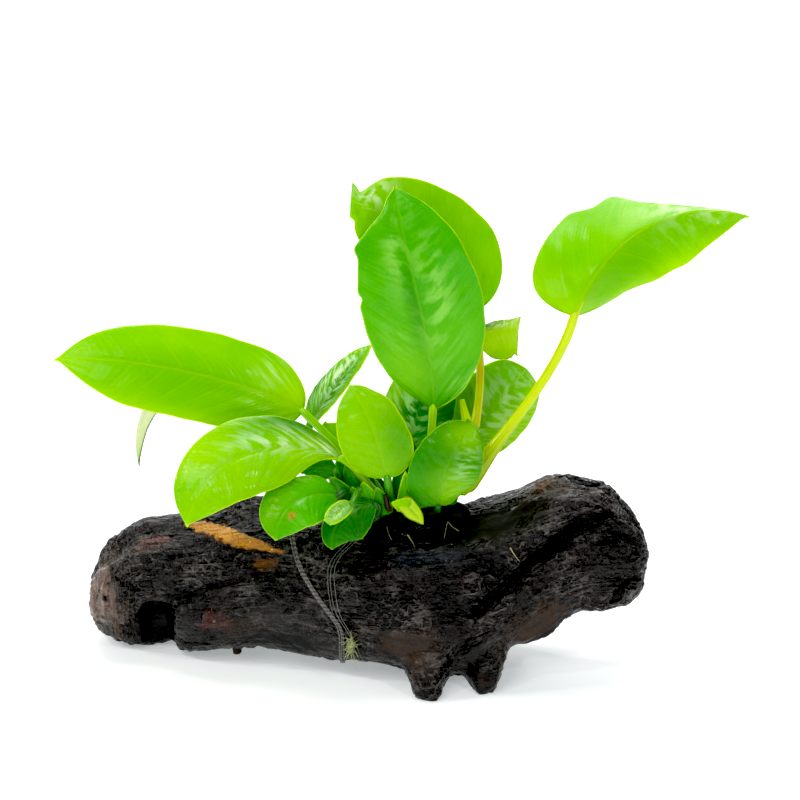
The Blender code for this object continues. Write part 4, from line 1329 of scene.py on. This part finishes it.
@dataclass
class Rhizome:
    """The creeping stem on top of the log, ringed with scars, and places for stems on it."""

    wood: Driftwood
    radius: float = 3.4
    lift: float = 0.9
    knobs: int = 4
    knob_depth: float = 0.06
    rings_per_knob: int = 6
    scar_depth: float = 0.03
    end_share: float = 0.06
    sunk: float = 1.3
    end_sunk: float = 5.2
    searched: Numbers = (30.0, 160.0)
    search_steps: int = 400
    rows: int = 120
    spokes: int = 32
    line: Table = ((-18.0, -8.0), (-9.0, -7.4), (0.0, -6.0), (9.0, -4.4), (18.5, -3.0))
    # Its skin is near black: partly its own dark colour, partly painted shade under the leaves.
    skin: PlainFinish = PlainFinish(paint(10, 11, 6), paint(30, 30, 15), (220.0, 4.0), 0.6, 0.3,
                                    (0.35, 0.65), (900.0, 3.0))

    def axis(self, count: int) -> Array:
        """Return points along the axis: over the wood's top, smoothed."""
        line = curve_through(self.line, count)
        angles = np.radians(np.linspace(*self.searched, self.search_steps))
        tops = []
        for x, y in line:
            ring = self.wood.form(np.full_like(angles, x), angles)
            order = np.argsort(ring[:, 1])
            tops.append(np.interp(y, ring[order, 1], ring[order, 2]))
        heights = np.array(tops) + self.radius + self.lift
        return np.column_stack([line, smoothed(heights, max(3, count // 3) | 1)])

    def root(self, x: float, degrees: float) -> tuple[Array, Array]:
        """Return the point on the rhizome at x and degrees round it, and the way out of it."""
        axis = self.axis(40)
        y, z = (np.interp(x, axis[:, 0], axis[:, column]) for column in (1, 2))
        angle = math.radians(degrees)
        out = np.array([0.0, math.cos(angle), math.sin(angle)])
        return np.array([x, y, z]) + out * self.radius, out

    def build(self) -> bpy.types.Object:
        """Make the rhizome: a rod with swellings, narrow ends and a ring at each old scar."""
        along = np.linspace(0.0, 1.0, self.rows)
        sunk = self.sunk + self.end_sunk * (2.0 * np.abs(along - 0.5)) ** 4
        axis = self.axis(self.rows) - np.array([0.0, 0.0, 1.0]) * sunk[:, None]
        knobs = np.cos(FULL_TURN * self.knobs * along) - 1.0
        scars = np.cos(FULL_TURN * self.knobs * self.rings_per_knob * along)
        ends = np.sqrt(np.clip(np.minimum(along, 1.0 - along) / self.end_share, 0.02, 1.0))
        radii = self.radius * ends * (1.0 + self.knob_depth * knobs - self.scar_depth * scars ** 6)
        angle = circle(self.spokes)
        rough = Noise(31).at(stacked(12.0 * along[:, None], 2.0 * np.cos(angle),
                                     2.0 * np.sin(angle)))
        shell = swept(axis, radii, self.spokes, np.array([0.0, 0.0, 1.0]), 1.0 + 0.05 * rough)
        return add_piece("rhizome_body", shell, self.skin.material("rhizome_shaded_skin"), "rhizome",
                         "rhizome")


@dataclass
class Foliage:
    """All the leaves: each blade, and each stem that runs on as the keel under its blade."""

    rhizome: Rhizome
    rows: int = 110
    columns: int = 45
    thickness: float = 0.55
    vein_lean: float = 0.34
    vein_count: int = 9
    vein_shift: float = 0.03
    quilt: float = 0.2
    dimple: float = 0.35
    dimple_grain: float = 9.0
    groove: float = 0.25
    groove_reach: float = 0.7
    midrib_reach: float = 1.8
    margin_waves: tuple[float, float] = (4.0, 1.4)
    ruffle_waves: float = 9.0
    wobble: float = 0.025
    wave_share: float = 0.04
    small_leaf: float = 20.0
    stem_rows: int = 70
    stem_spokes: int = 18
    keel_share: float = 0.85

    def half_width(self, leaf: Leaf, along: Array, across: Array) -> Array:
        """Return the half width at places along, on the side that `across` gives.

        It rises as a power of the way to the widest place, falls as a power of the way left to
        the tip, and bells for the bumps are added.
        """
        belly = leaf.shoulder / (leaf.shoulder + leaf.point)
        shape = (along / belly) ** leaf.shoulder * ((1.0 - along) / (1.0 - belly)) ** leaf.point
        shape = shape * (1.0 - np.exp(-(1.0 - along) / leaf.drawn))
        base_width = leaf.stem_width / leaf.width
        least = base_width + (leaf.tip_width - base_width) * along
        half = 0.5 * leaf.width * np.maximum(shape, least)[:, None]
        half = half * np.where(across < 0.0, leaf.left, leaf.right)[None, :]
        for side, at, reach, height in leaf.bumps:
            there = hill(along - at, reach)[:, None]
            half = half + height * there * (np.sign(across) == side)[None, :]
        return half

    @staticmethod
    def washed(leaf: Leaf, along: Array, across: Array) -> Array:
        """Return the strength of each kind of wash on the grid along x across."""
        wash = np.zeros((len(along), len(across), len(Wash)))
        for kind, at_across, at_along, across_reach, along_reach, strength in leaf.washes:
            there = (hill(across - at_across, across_reach)[None, :]
                     * hill(along - at_along, along_reach)[:, None])
            wash[..., kind.value] = np.maximum(wash[..., kind.value], strength * there)
        return wash

    def middle_surface(self, leaf: Leaf, along: Array, across: Array
                       ) -> tuple[Array, Array, dict[str, Array]]:
        """Return the blade's middle surface on the grid along x across.

        The midrib is a Bezier curve. The blade reaches out sideways by its half width, folds
        along the midrib, cups towards its edges and waves at its margin. Between the side veins
        it swells a little, and the midrib lies in a groove.

        Args:
            leaf: the leaf.
            along: places from base to tip.
            across: places from the left margin, -1, to the right one, 1.

        Returns:
            The grid, its normals, and the values that the finish reads.
        """
        spine, way = bezier(leaf.midrib, along)
        side = unit(np.cross(way, np.asarray(leaf.face, dtype=float)))
        up = np.cross(side, way)
        seed = sum(ord(letter) for letter in leaf.name)
        noise = Noise(seed)
        half = self.half_width(leaf, along, across)
        lengthwise, crosswise = self.margin_waves
        flat = stacked(lengthwise * along[:, None], crosswise * across[None, :], 0.37 * seed)
        outline = noise.at(flat * np.array([2.6, 0.0, 1.0]) + np.sign(across)[None, :, None])
        middle = np.clip(8.0 * along * (1.0 - along), 0.0, 1.0)[:, None]
        half = half * (1.0 + self.wobble * outline * middle)
        reach = half * across[None, :]
        left, right = (base + (tip - base) * along[:, None]
                       for base, tip in (leaf.left_fold, leaf.right_fold))
        fold = np.arctan(np.where(across[None, :] < 0.0, left, right))
        out = np.abs(across)[None, :]
        rise = np.abs(reach) * np.sin(fold) + leaf.cup * reach ** 2 / (0.5 * leaf.width)
        ruffles = np.sin(self.ruffle_waves * along[:, None] + across)
        rise = rise + leaf.ruffle * out ** 3 * ruffles
        rise = rise + leaf.waves * out ** 2 * noise.at(flat) * (self.wave_share * leaf.width)
        lean = self.vein_lean * out ** 1.25
        vein = (along[:, None] - lean) / (1.0 - lean) + self.vein_shift * np.sign(across)[None, :]
        window = np.sqrt(out) * (1.0 - out ** 6) * np.clip(6.0 * (1.0 - along), 0, 1)[:, None]
        swells = np.abs(np.sin(math.pi * self.vein_count * vein))
        size = min(1.0, leaf.width / self.small_leaf)
        rise = rise + self.quilt * window * (swells - 0.5) * size
        dents = noise.layered(spine[:, None, :] / self.dimple_grain + flat * 1.5, 2)
        rise = rise + self.dimple * size * (1.0 - hill(reach, self.midrib_reach)) * dents
        groove = self.groove * hill(reach, self.groove_reach)
        rise = rise - groove * np.clip(4.0 * (1.0 - along), 0, 1)[:, None]
        ahead = leaf.slant * across[None, :] * along[:, None] ** 10
        grid = (spine[:, None, :] + side[:, None, :] * (reach * np.cos(fold))[..., None]
                + up[:, None, :] * rise[..., None] + way[:, None, :] * ahead[..., None])
        normal = unit(np.cross(np.gradient(grid, axis=1), np.gradient(grid, axis=0)))
        place = stacked(0.5 + 0.5 * across[None, :], along[:, None], vein)
        margin = stacked(np.abs(reach), (1.0 - out) * half, swells)
        wash = self.washed(leaf, along, across)
        return grid, normal, {"leaf": place, "margin": margin, "wash": wash}

    def lens(self, leaf: Leaf) -> Shell:
        """Return a blade's shell: a thin lens round its middle surface, rounded at the rim.

        Its rings run over the upper side and back under the lower one, and the thickness is
        the root of one less the place across to the eighth.
        """
        even = np.linspace(0.0, 1.0, self.rows)
        along = 0.45 * even + 0.275 * (1.0 - np.cos(math.pi * even))
        across = np.linspace(-1.0, 1.0, self.columns)
        across = 0.55 * np.sin(0.5 * math.pi * across) + 0.45 * across
        grid, normal, values = self.middle_surface(leaf, along, across)
        lens = np.sqrt(np.clip(1.0 - np.abs(across) ** 8, 0.0, 1.0))
        ends = np.sqrt(np.clip(np.minimum(along, 1.0 - along) / 0.02, 0.04, 1.0))
        half = 0.5 * self.thickness * ends[:, None] * lens[None, :]
        top = grid + normal * half[..., None]
        under = (grid - normal * half[..., None])[:, -2:0:-1]
        both = {name: np.concatenate([value, value[:, -2:0:-1]], axis=1)
                for name, value in values.items()}
        return ringed(np.concatenate([top, under], axis=1), both)

    def blade(self, leaf: Leaf) -> bpy.types.Object:
        """Make a blade."""
        finish = leaf.tone.value.material("leaf_" + leaf.name + "_skin", leaf.spots)
        return add_piece("blade_" + leaf.name, self.lens(leaf), finish, "leaf",
                         "leaf_" + leaf.name)

    def stem(self, leaf: Leaf) -> bpy.types.Object:
        """Make a stem: a grooved tube out of the rhizome, which thins to a keel under the blade.

        Its radius swells as a bell at the sheath, and falls as a power of the way to the tip
        along the midrib.
        """
        foot, out = self.rhizome.root(*leaf.root)
        radius = 0.5 * leaf.stem_width
        base = np.asarray(leaf.midrib[0])
        stalk = bezier((tuple(foot - out * 1.5), *leaf.bends, tuple(base)),
                       np.linspace(0.0, 1.0, self.stem_rows))[0]
        t = np.linspace(0.0, self.keel_share, self.stem_rows + 1)[1:]
        keel, way = bezier(leaf.midrib, t)
        side = unit(np.cross(way, np.asarray(leaf.face, dtype=float)))
        below = -np.cross(side, way)
        keel_radii = radius * (0.1 + 0.65 * (1.0 - t / self.keel_share) ** 0.9)
        keel = keel + below * ((keel_radii + 0.3) * soft_step(-0.02, 0.05, t))[:, None]
        path = np.concatenate([stalk, keel])
        place = np.linspace(0.0, 1.0, self.stem_rows)
        stalk_radii = radius * (0.92 + 0.25 * hill(place - 0.12, 0.18))
        radii = np.concatenate([stalk_radii, np.minimum(keel_radii, stalk_radii[-1])])
        radii[0] *= 0.4
        radii[-1] *= 0.3
        angle = circle(self.stem_spokes)
        wings = leaf.wings * soft_step(0.55, 0.1, place) * soft_step(0.0, 0.08, place)
        wings = np.concatenate([wings, np.zeros(len(t))])[:, None] * np.cos(angle) ** 4
        form = (1.0 + wings) * (1.0 - 0.16 * hill(angle - 0.5 * math.pi, 0.5))
        shell = swept(path, smoothed(radii, 5), self.stem_spokes, np.asarray(leaf.face), form)
        finish = leaf.stem_tone.value.material("stem_" + leaf.name + "_skin")
        return add_piece("petiole_" + leaf.name, shell, finish, "stem", "stem_" + leaf.name)

    def build(self) -> None:
        """Make every leaf, and the scales at their feet."""
        for leaf in LEAVES:
            self.blade(leaf)
            self.stem(leaf)
        for tone in (LeafTone.GOLD, LeafTone.GREEN, LeafTone.DEEP):
            shells = [self.lens(leaf) for leaf in SCALES if leaf.tone is tone]
            name = "bud_scales_" + tone.name.lower()
            add_piece(name, joined(shells), tone.value.material(name), "stem")


@dataclass
class Shoots:
    """The leaf still rolled to a spike, and the stub of a leaf that fell."""

    rhizome: Rhizome
    rows: int = 60
    spokes: int = 24
    spike_root: Place = (11.4, 96.0)
    spike: Table = ((15.0, -3.0, 58.0), (18.0, -1.0, 66.5), (16.6, 1.0, 75.5))
    spike_widths: Numbers = (1.6, 2.7, 3.2, 1.3)
    spike_winding: float = 4.0
    stub_root: Place = (-2.6, 160.0)
    stub: Table = ((-3.2, -13.0, 49.8), (-3.9, -13.8, 53.6))
    stub_widths: Numbers = (2.0, 1.6, 1.3)
    lap: float = 0.16
    green: StemFinish = StemFinish(paint(130, 190, 0), paint(180, 226, 0), paint(196, 232, 10))
    dry: StemFinish = StemFinish(paint(40, 28, 10), paint(96, 80, 30), paint(50, 32, 14), 0.6)

    def rod(self, root: Place, points: Table, widths: Numbers,
            winding: float) -> Shell:
        """Return a tapered rod with the lap of a rolled blade winding up it."""
        foot, out = self.rhizome.root(*root)
        table = np.column_stack([np.array([foot - out * 0.8, *points]), np.asarray(widths)])
        rows = curve_through(table, self.rows)
        wound = winding * np.linspace(0.0, 1.0, self.rows)[:, None]
        turn = (circle(self.spokes)[None, :] - wound) % FULL_TURN
        form = 1.0 + self.lap * (turn / FULL_TURN - 0.5)
        return swept(rows[:, :3], 0.5 * rows[:, 3], self.spokes, np.array([0.0, -1.0, 0.2]), form)

    def build(self) -> None:
        """Make both."""
        spike = self.rod(self.spike_root, self.spike, self.spike_widths, self.spike_winding)
        add_piece("shoot_rolled", spike, self.green.material("rolled_shoot_skin"), "stem",
                  "rolled_shoot")
        stub = self.rod(self.stub_root, self.stub, self.stub_widths, 0.0)
        add_piece("stub_dry", stub, self.dry.material("dry_stub_skin"), "stub", "old_stub")


@dataclass(frozen=True)
class TwistFinish:
    """A dark, glossy thread whose fibres wind round it, painted lighter on their crests as
    highlights and darker in their grooves as shade.
    """

    # Painted shade in the fibres' grooves, and painted highlights on their crests.
    groove: Color = paint(58, 55, 52)
    crest_highlight: Color = paint(104, 100, 96)
    winding: float = 5.0
    roughness: float = 0.25
    gloss: float = 0.8
    height: float = 0.00006

    def material(self, name: str) -> bpy.types.Material:
        """Return the finish, whose fibres are a sine of the length plus the way round, with painted
        highlights on the crests and painted shade in the grooves.
        """
        graph = Graph(name)
        _, around, length = graph.value("place")
        twist = graph.math("SINE", graph.plus(graph.times(length, self.winding),
                                              graph.times(around, FULL_TURN)))
        color = graph.mix(graph.between(twist, -0.6, 0.8), self.groove, self.crest_highlight)
        normal = graph.bump(twist, self.height)
        return graph.finish(graph.surface(color, self.roughness, normal, self.gloss))


@dataclass
class Binding:
    """The thread round the log: the dark band, the clear strands and the frayed knot."""

    wood: Driftwood
    points: int = 360
    spokes: int = 8
    harmonics: int = 9
    taut_reach: int = 6
    wander: float = 0.12
    band_strands: int = 3
    band_pitch: float = 0.5
    band_radius: float = 0.28
    line_strands: int = 3
    line_pitch: float = 0.9
    line_radius: float = 0.085
    twisted: TwistFinish = TwistFinish()
    clear: PlainFinish = PlainFinish(paint(110, 112, 106), paint(170, 172, 164), (400.0, 3.0),
                                     0.2, 0.6, through=0.4)
    frayed: PlainFinish = PlainFinish(paint(150, 164, 84), paint(222, 226, 176), (900.0, 3.0),
                                      0.5, through=0.2)
    hump: Numbers = (109.0, 11.0, 9.6)
    knot: Place = (-12.9, 204.0)
    knot_lift: float = 1.2
    knot_turns: Numbers = (0.4, 1.9)
    knot_reach: Numbers = (0.7, 0.9)
    knot_radius: float = 0.3
    fibres: int = 70
    short_fibres: Numbers = (1.2, 2.6)
    long_fibres: Numbers = (3.0, 4.6)
    long_every: int = 6
    fibre_radii: Numbers = (0.08, 0.16)
    band_turns: Table = (
        (0, -26), (45, -30), (90, -31), (131, -29), (148, -27), (161, -25), (177, -19.5),
        (192, -16), (204, -15.4), (220, -15.6), (240, -15.6), (270, -17), (315, -22))
    line_turns: Table = (
        (0, -2), (60, -7), (90, -10.2), (98, -10.2), (104, -10.0), (111, -9.6), (118, -9.6),
        (126, -12.2), (137, -16.6), (158, -18.6), (177, -17.4), (190, -15.2), (203, -13.2),
        (214, -11.4), (240, -9), (270, -8), (315, -5))

    def route(self, turns: Table, shift: float, over: bool, radius: float
              ) -> tuple[Array, Array]:
        """Return one strand's path round the log, and the way out of the bark along it.

        The place along x is the turns' own, smoothed to a few waves. The height is the upper
        side of the bark's relief near the strand, smoothed, because the thread is taut.
        """
        angle = circle(self.points)
        degrees = np.degrees(angle)
        corners = np.array(turns + ((360.0, turns[0][1]),), dtype=float)
        waves = np.fft.fft(np.interp(degrees, corners[:, 0], corners[:, 1]))
        waves[np.abs(np.fft.fftfreq(self.points, 1.0 / self.points)) > self.harmonics] = 0.0
        x = np.real(np.fft.ifft(waves)) + shift
        relief = self.wood.relief(x, angle)
        near = range(-self.taut_reach, self.taut_reach + 1)
        highest = np.max([np.roll(relief, step) for step in near], axis=0)
        taut = np.mean([np.roll(highest, step) for step in near], axis=0)
        at, reach, height = self.hump
        rise = float(over) * height * hill(degrees - at, reach)
        normal = self.wood.normal(x, angle)
        path = self.wood.form(x, angle) + normal * (taut + radius + rise)[:, None]
        return path, normal

    def strands(self, turns: Table, count: int, pitch: float, over: bool,
                radius: float) -> Shell:
        """Return strands side by side, wandering a little against each other."""
        shells = []
        for strand in range(count):
            shift = pitch * (strand - 0.5 * (count - 1))
            path, normal = self.route(turns, shift, over, radius)
            waves = np.sin(np.linspace(0.0, FULL_TURN * (5 + strand), self.points))
            path[:, 0] += self.wander * pitch * waves
            radii = np.full(self.points, radius)
            shells.append(swept(path, radii, self.spokes, normal, closed=True))
        return joined(shells)

    def tuft(self) -> Shell:
        """Return the frayed knot: two crossing loops, and fibres that fan out and droop."""
        x, degrees = self.knot
        angle = math.radians(degrees)
        at = np.array([x]), np.array([angle])
        out = self.wood.normal(*at)[0]
        middle = self.wood.surface(*at, self.knot_lift)[0]
        right = np.array([1.0, 0.0, 0.0])
        down = unit(np.cross(out, right))
        down = down * -np.sign(down[2])
        random = np.random.default_rng(12)
        shells = []
        t = circle(40)
        sideways, outwards = self.knot_reach
        radii = np.full(len(t), self.knot_radius)
        for turn in self.knot_turns:
            wide = right * math.cos(turn) + down * math.sin(turn)
            loop = (middle + np.outer(sideways * np.cos(t), wide)
                    + np.outer(outwards * np.sin(t), out * 0.5 + down * 0.6))
            shells.append(swept(loop, radii, self.spokes, right, closed=True))
        s = np.linspace(0.0, 1.0, 10)[:, None]
        for fibre in range(self.fibres):
            lengths = self.short_fibres if fibre % self.long_every else self.long_fibres
            length = random.uniform(*lengths)
            lean = random.uniform(0.1, 0.7)
            way = right * random.normal(0.0, 0.3) + down * random.uniform(-0.8, 1.0) + out * lean
            start = middle + right * random.normal(0.0, 0.4) + down * random.normal(0.3, 1.2)
            bend = (down * random.uniform(0.0, 1.2) - out * 0.9 * lean
                    + right * random.normal(0.0, 0.5))
            path = start + s * length * unit(way) + s ** 2 * bend
            radii = random.uniform(*self.fibre_radii) * (1.0 - 0.7 * s[:, 0])
            shells.append(swept(path, radii, 4, out + 0.01))
        return joined(shells)

    def build(self) -> None:
        """Make the band, the clear strands and the knot."""
        add_piece("thread_band_strands",
                  self.strands(self.band_turns, self.band_strands, self.band_pitch, False,
                               self.band_radius), self.twisted.material("dark_thread"),
                  "thread", "thread_band")
        add_piece("thread_line_strands",
                  self.strands(self.line_turns, self.line_strands, self.line_pitch, True,
                               self.line_radius), self.clear.material("clear_thread"),
                  "thread", "thread_line")
        add_piece("thread_knot_tuft", self.tuft(), self.frayed.material("frayed_knot"), "knot",
                  "thread_knot")


@dataclass
class Roots:
    """Fine roots that cling to the bark, each along points of x and degrees."""

    wood: Driftwood
    radius: float = 0.16
    lift: float = 0.1
    taper: float = 0.6
    box: int = 7
    rows: int = 40
    spokes: int = 7
    skin: PlainFinish = PlainFinish(paint(150, 146, 96), paint(206, 200, 150), (500.0, 3.0), 0.4)
    lines: tuple[Table, ...] = (
        ((12.6, 88), (13.0, 100), (12.4, 112), (11.8, 124)),
        ((12.8, 104), (14.0, 110), (15.9, 117)),
        ((29.3, 141), (30.4, 147), (31.9, 154)),
        ((-3.6, 112), (-3.0, 119), (-2.2, 124)),
        ((2.0, 118), (3.2, 124), (4.0, 130)),
        ((-14.0, 60), (-16.0, 42), (-15.0, 20), (-17.0, 0)),
        ((-6.0, 58), (-3.0, 40), (-4.0, 20), (0.0, -4)),
        ((3.0, 56), (5.0, 36), (9.0, 18), (8.0, 4)),
        ((10.0, 58), (14.0, 40), (13.0, 26), (18.0, 10)))

    def build(self) -> bpy.types.Object:
        """Make the roots as thin tubes pressed to the bark."""
        shells = []
        for line in self.lines:
            rows = curve_through(line, self.rows)
            x, angle = rows[:, 0], np.radians(rows[:, 1])
            path = self.wood.surface(x, angle, self.lift)
            smooth = np.column_stack([smoothed(axis, self.box) for axis in path.T])
            radii = self.radius * (1.0 - self.taper * np.linspace(0.0, 1.0, self.rows))
            shells.append(swept(smooth, radii, self.spokes, self.wood.normal(x, angle)))
        return add_piece("fine_roots", joined(shells), self.skin.material("root_skin"), "rhizome")


@dataclass
class Twig:
    """The stub of a twig that stands out under the log, down to the floor."""

    at: Place = (-45.7, 3.0)
    top: float = 6.0
    radius: float = 1.3
    rows: int = 24
    spokes: int = 24
    skin: PlainFinish = PlainFinish(paint(14, 11, 9), paint(58, 48, 40), (600.0, 3.0), 0.5,
                                    spread=(0.35, 0.65), grain=(900.0, 3.0))

    def build(self) -> bpy.types.Object:
        """Make the stub as a bent rod, rough all round, with a broken foot."""
        down = np.linspace(0.0, 1.0, self.rows)
        x, y = self.at
        path = stacked(x + 0.5 * down ** 2, y, self.top * (1.0 - down) + 0.3)
        radii = self.radius * (1.2 - 0.3 * down) * np.sqrt(np.clip((1.02 - down) / 0.1, 0.0, 1.0))
        angle = circle(self.spokes)
        rough = Noise(37).at(stacked(5.0 * down[:, None], 1.5 * np.cos(angle),
                                     1.5 * np.sin(angle)))
        shell = swept(path, radii, self.spokes, np.array([0.0, 1.0, 0.0]), 1.0 + 0.2 * rough)
        return add_piece("twig_stub", shell, self.skin.material("twig_bark"), "driftwood")


@dataclass(frozen=True)
class Lamp:
    """A soft square light: where it hangs, where it looks and its size in metres, and its watts."""

    name: str
    at: Place
    target: Place
    size: float
    power: float


@dataclass
class Studio:
    """The pale floor, the soft lights, the white surroundings and the camera.

    elevation: how many degrees the camera looks down by.
    distance, floor_size: metres.
    target: what the camera looks at, in the tables' millimetres.
    dim: how bright the white surroundings are as a light, where 1 is how they look.
    black, white: the levels of the picture that become black and white.
    """

    elevation: float = 18.0
    distance: float = 0.65
    target: Place = (0.0, 0.0, 75.7)
    lens: float = 109.1
    floor_size: float = 12.0
    dim: float = 0.3
    # The floor's own glow, as painted light: weak near the log and strong far off.
    floor_glow: tuple[float, float] = (0.3, 0.9)
    black: float = 0.018
    white: float = 0.87
    lamps: tuple[Lamp, ...] = (
        Lamp("top_softbox", (-0.05, 0.2, 0.8), (0.0, 0.0, 0.05), 0.36, 3.0),
        Lamp("back_panel", (0.0, 1.1, 0.5), (0.0, 0.0, 0.1), 1.4, 9.0),
        Lamp("front_softbox", (-0.35, -0.8, 0.75), (0.0, 0.0, 0.06), 0.4, 2.6),
        Lamp("left_spark", (-0.35, -0.35, 0.6), (0.0, 0.0, 0.04), 0.03, 0.5),
        Lamp("right_spark", (0.3, -0.4, 0.5), (0.0, 0.0, 0.04), 0.03, 0.5),
        Lamp("top_spark", (0.05, 0.3, 0.7), (0.0, 0.0, 0.04), 0.03, 0.5),
        Lamp("low_spark", (-0.5, -0.1, 0.35), (0.0, 0.0, 0.04), 0.03, 0.5))

    def floor(self) -> None:
        """Lay a wide, nearly white floor under the log, which glows as painted light, more the
        farther it lies from the log.
        """
        half = 0.5 * self.floor_size
        mesh = bpy.data.meshes.new("floor")
        mesh.from_pydata([(-half, -half, 0), (half, -half, 0), (half, half, 0), (-half, half, 0)],
                         [], [(0, 1, 2, 3)])
        graph = Graph("floor_paint")
        color = graph.mix(graph.noise(4.0), paint(240, 242, 242), paint(244, 245, 245))
        away = graph.nodes.new("ShaderNodeVectorMath")
        away.operation = "LENGTH"
        graph.put(away.inputs[0], graph.object_place)
        # Painted light: the floor glows more the farther it lies from the log, so that the far
        # floor stays white.
        glow = graph.between(away.outputs["Value"], 0.15, 0.7, *self.floor_glow)
        mesh.materials.append(graph.finish(graph.surface(color, 0.7, None, 0.2, glow=glow)))
        floor = bpy.data.objects.new("floor", mesh)
        bpy.context.scene.collection.objects.link(floor)

    def surroundings(self) -> None:
        """Surround the scene with white that is dimmer as a light than it looks itself."""
        world = bpy.data.worlds.new("surroundings")
        world.use_nodes = True
        nodes, links = world.node_tree.nodes, world.node_tree.links
        shown = nodes.new("ShaderNodeMapRange")
        shown.inputs["To Min"].default_value = self.dim
        links.new(nodes.new("ShaderNodeLightPath").outputs["Is Camera Ray"],
                  shown.inputs["Value"])
        links.new(shown.outputs["Result"], nodes["Background"].inputs["Strength"])
        nodes["Background"].inputs["Color"].default_value = (1.0, 1.0, 1.0, 1.0)
        bpy.context.scene.world = world

    def light(self, lamp: Lamp) -> None:
        """Hang a lamp that the camera doesn't see."""
        data = bpy.data.lights.new(lamp.name, "AREA")
        data.size = lamp.size
        data.energy = lamp.power
        light = bpy.data.objects.new(lamp.name, data)
        light.visible_camera = False
        bpy.context.scene.collection.objects.link(light)
        self.aim(light, lamp.at, lamp.target)

    @staticmethod
    def aim(thing: bpy.types.Object, at: Place, target: Place) -> None:
        """Place an object and turn it to look at a point."""
        way = Vector(target) - Vector(at)
        thing.location = at
        thing.rotation_euler = way.to_track_quat("-Z", "Y").to_euler()

    def build(self) -> None:
        """Make the floor, the lights, the surroundings and the camera."""
        self.floor()
        for lamp in self.lamps:
            self.light(lamp)
        self.surroundings()
        view = bpy.context.scene.view_settings
        view.view_transform = "Standard"
        view.use_curve_mapping = True
        view.curve_mapping.black_level = (self.black, self.black, self.black)
        view.curve_mapping.white_level = (self.white, self.white, self.white)
        view.curve_mapping.update()
        data = bpy.data.cameras.new("camera")
        data.lens = self.lens
        camera = bpy.data.objects.new("camera", data)
        bpy.context.scene.collection.objects.link(camera)
        target = placed(np.array(self.target))
        tilt = math.radians(self.elevation)
        at = target + self.distance * np.array([0.0, -math.cos(tilt), math.sin(tilt)])
        self.aim(camera, tuple(at), tuple(target))
        bpy.context.scene.camera = camera


def main() -> None:
    """Build the log, the plant, the binding and the studio."""
    logging.basicConfig(level=logging.INFO, format="%(message)s")
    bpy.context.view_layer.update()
    wood = Driftwood()
    wood.build(BarkFinish())
    rhizome = Rhizome(wood)
    rhizome.build()
    Foliage(rhizome).build()
    Shoots(rhizome).build()
    Binding(wood).build()
    Roots(wood).build()
    Twig().build()
    Studio().build()


if __name__ == "__main__":
    main()
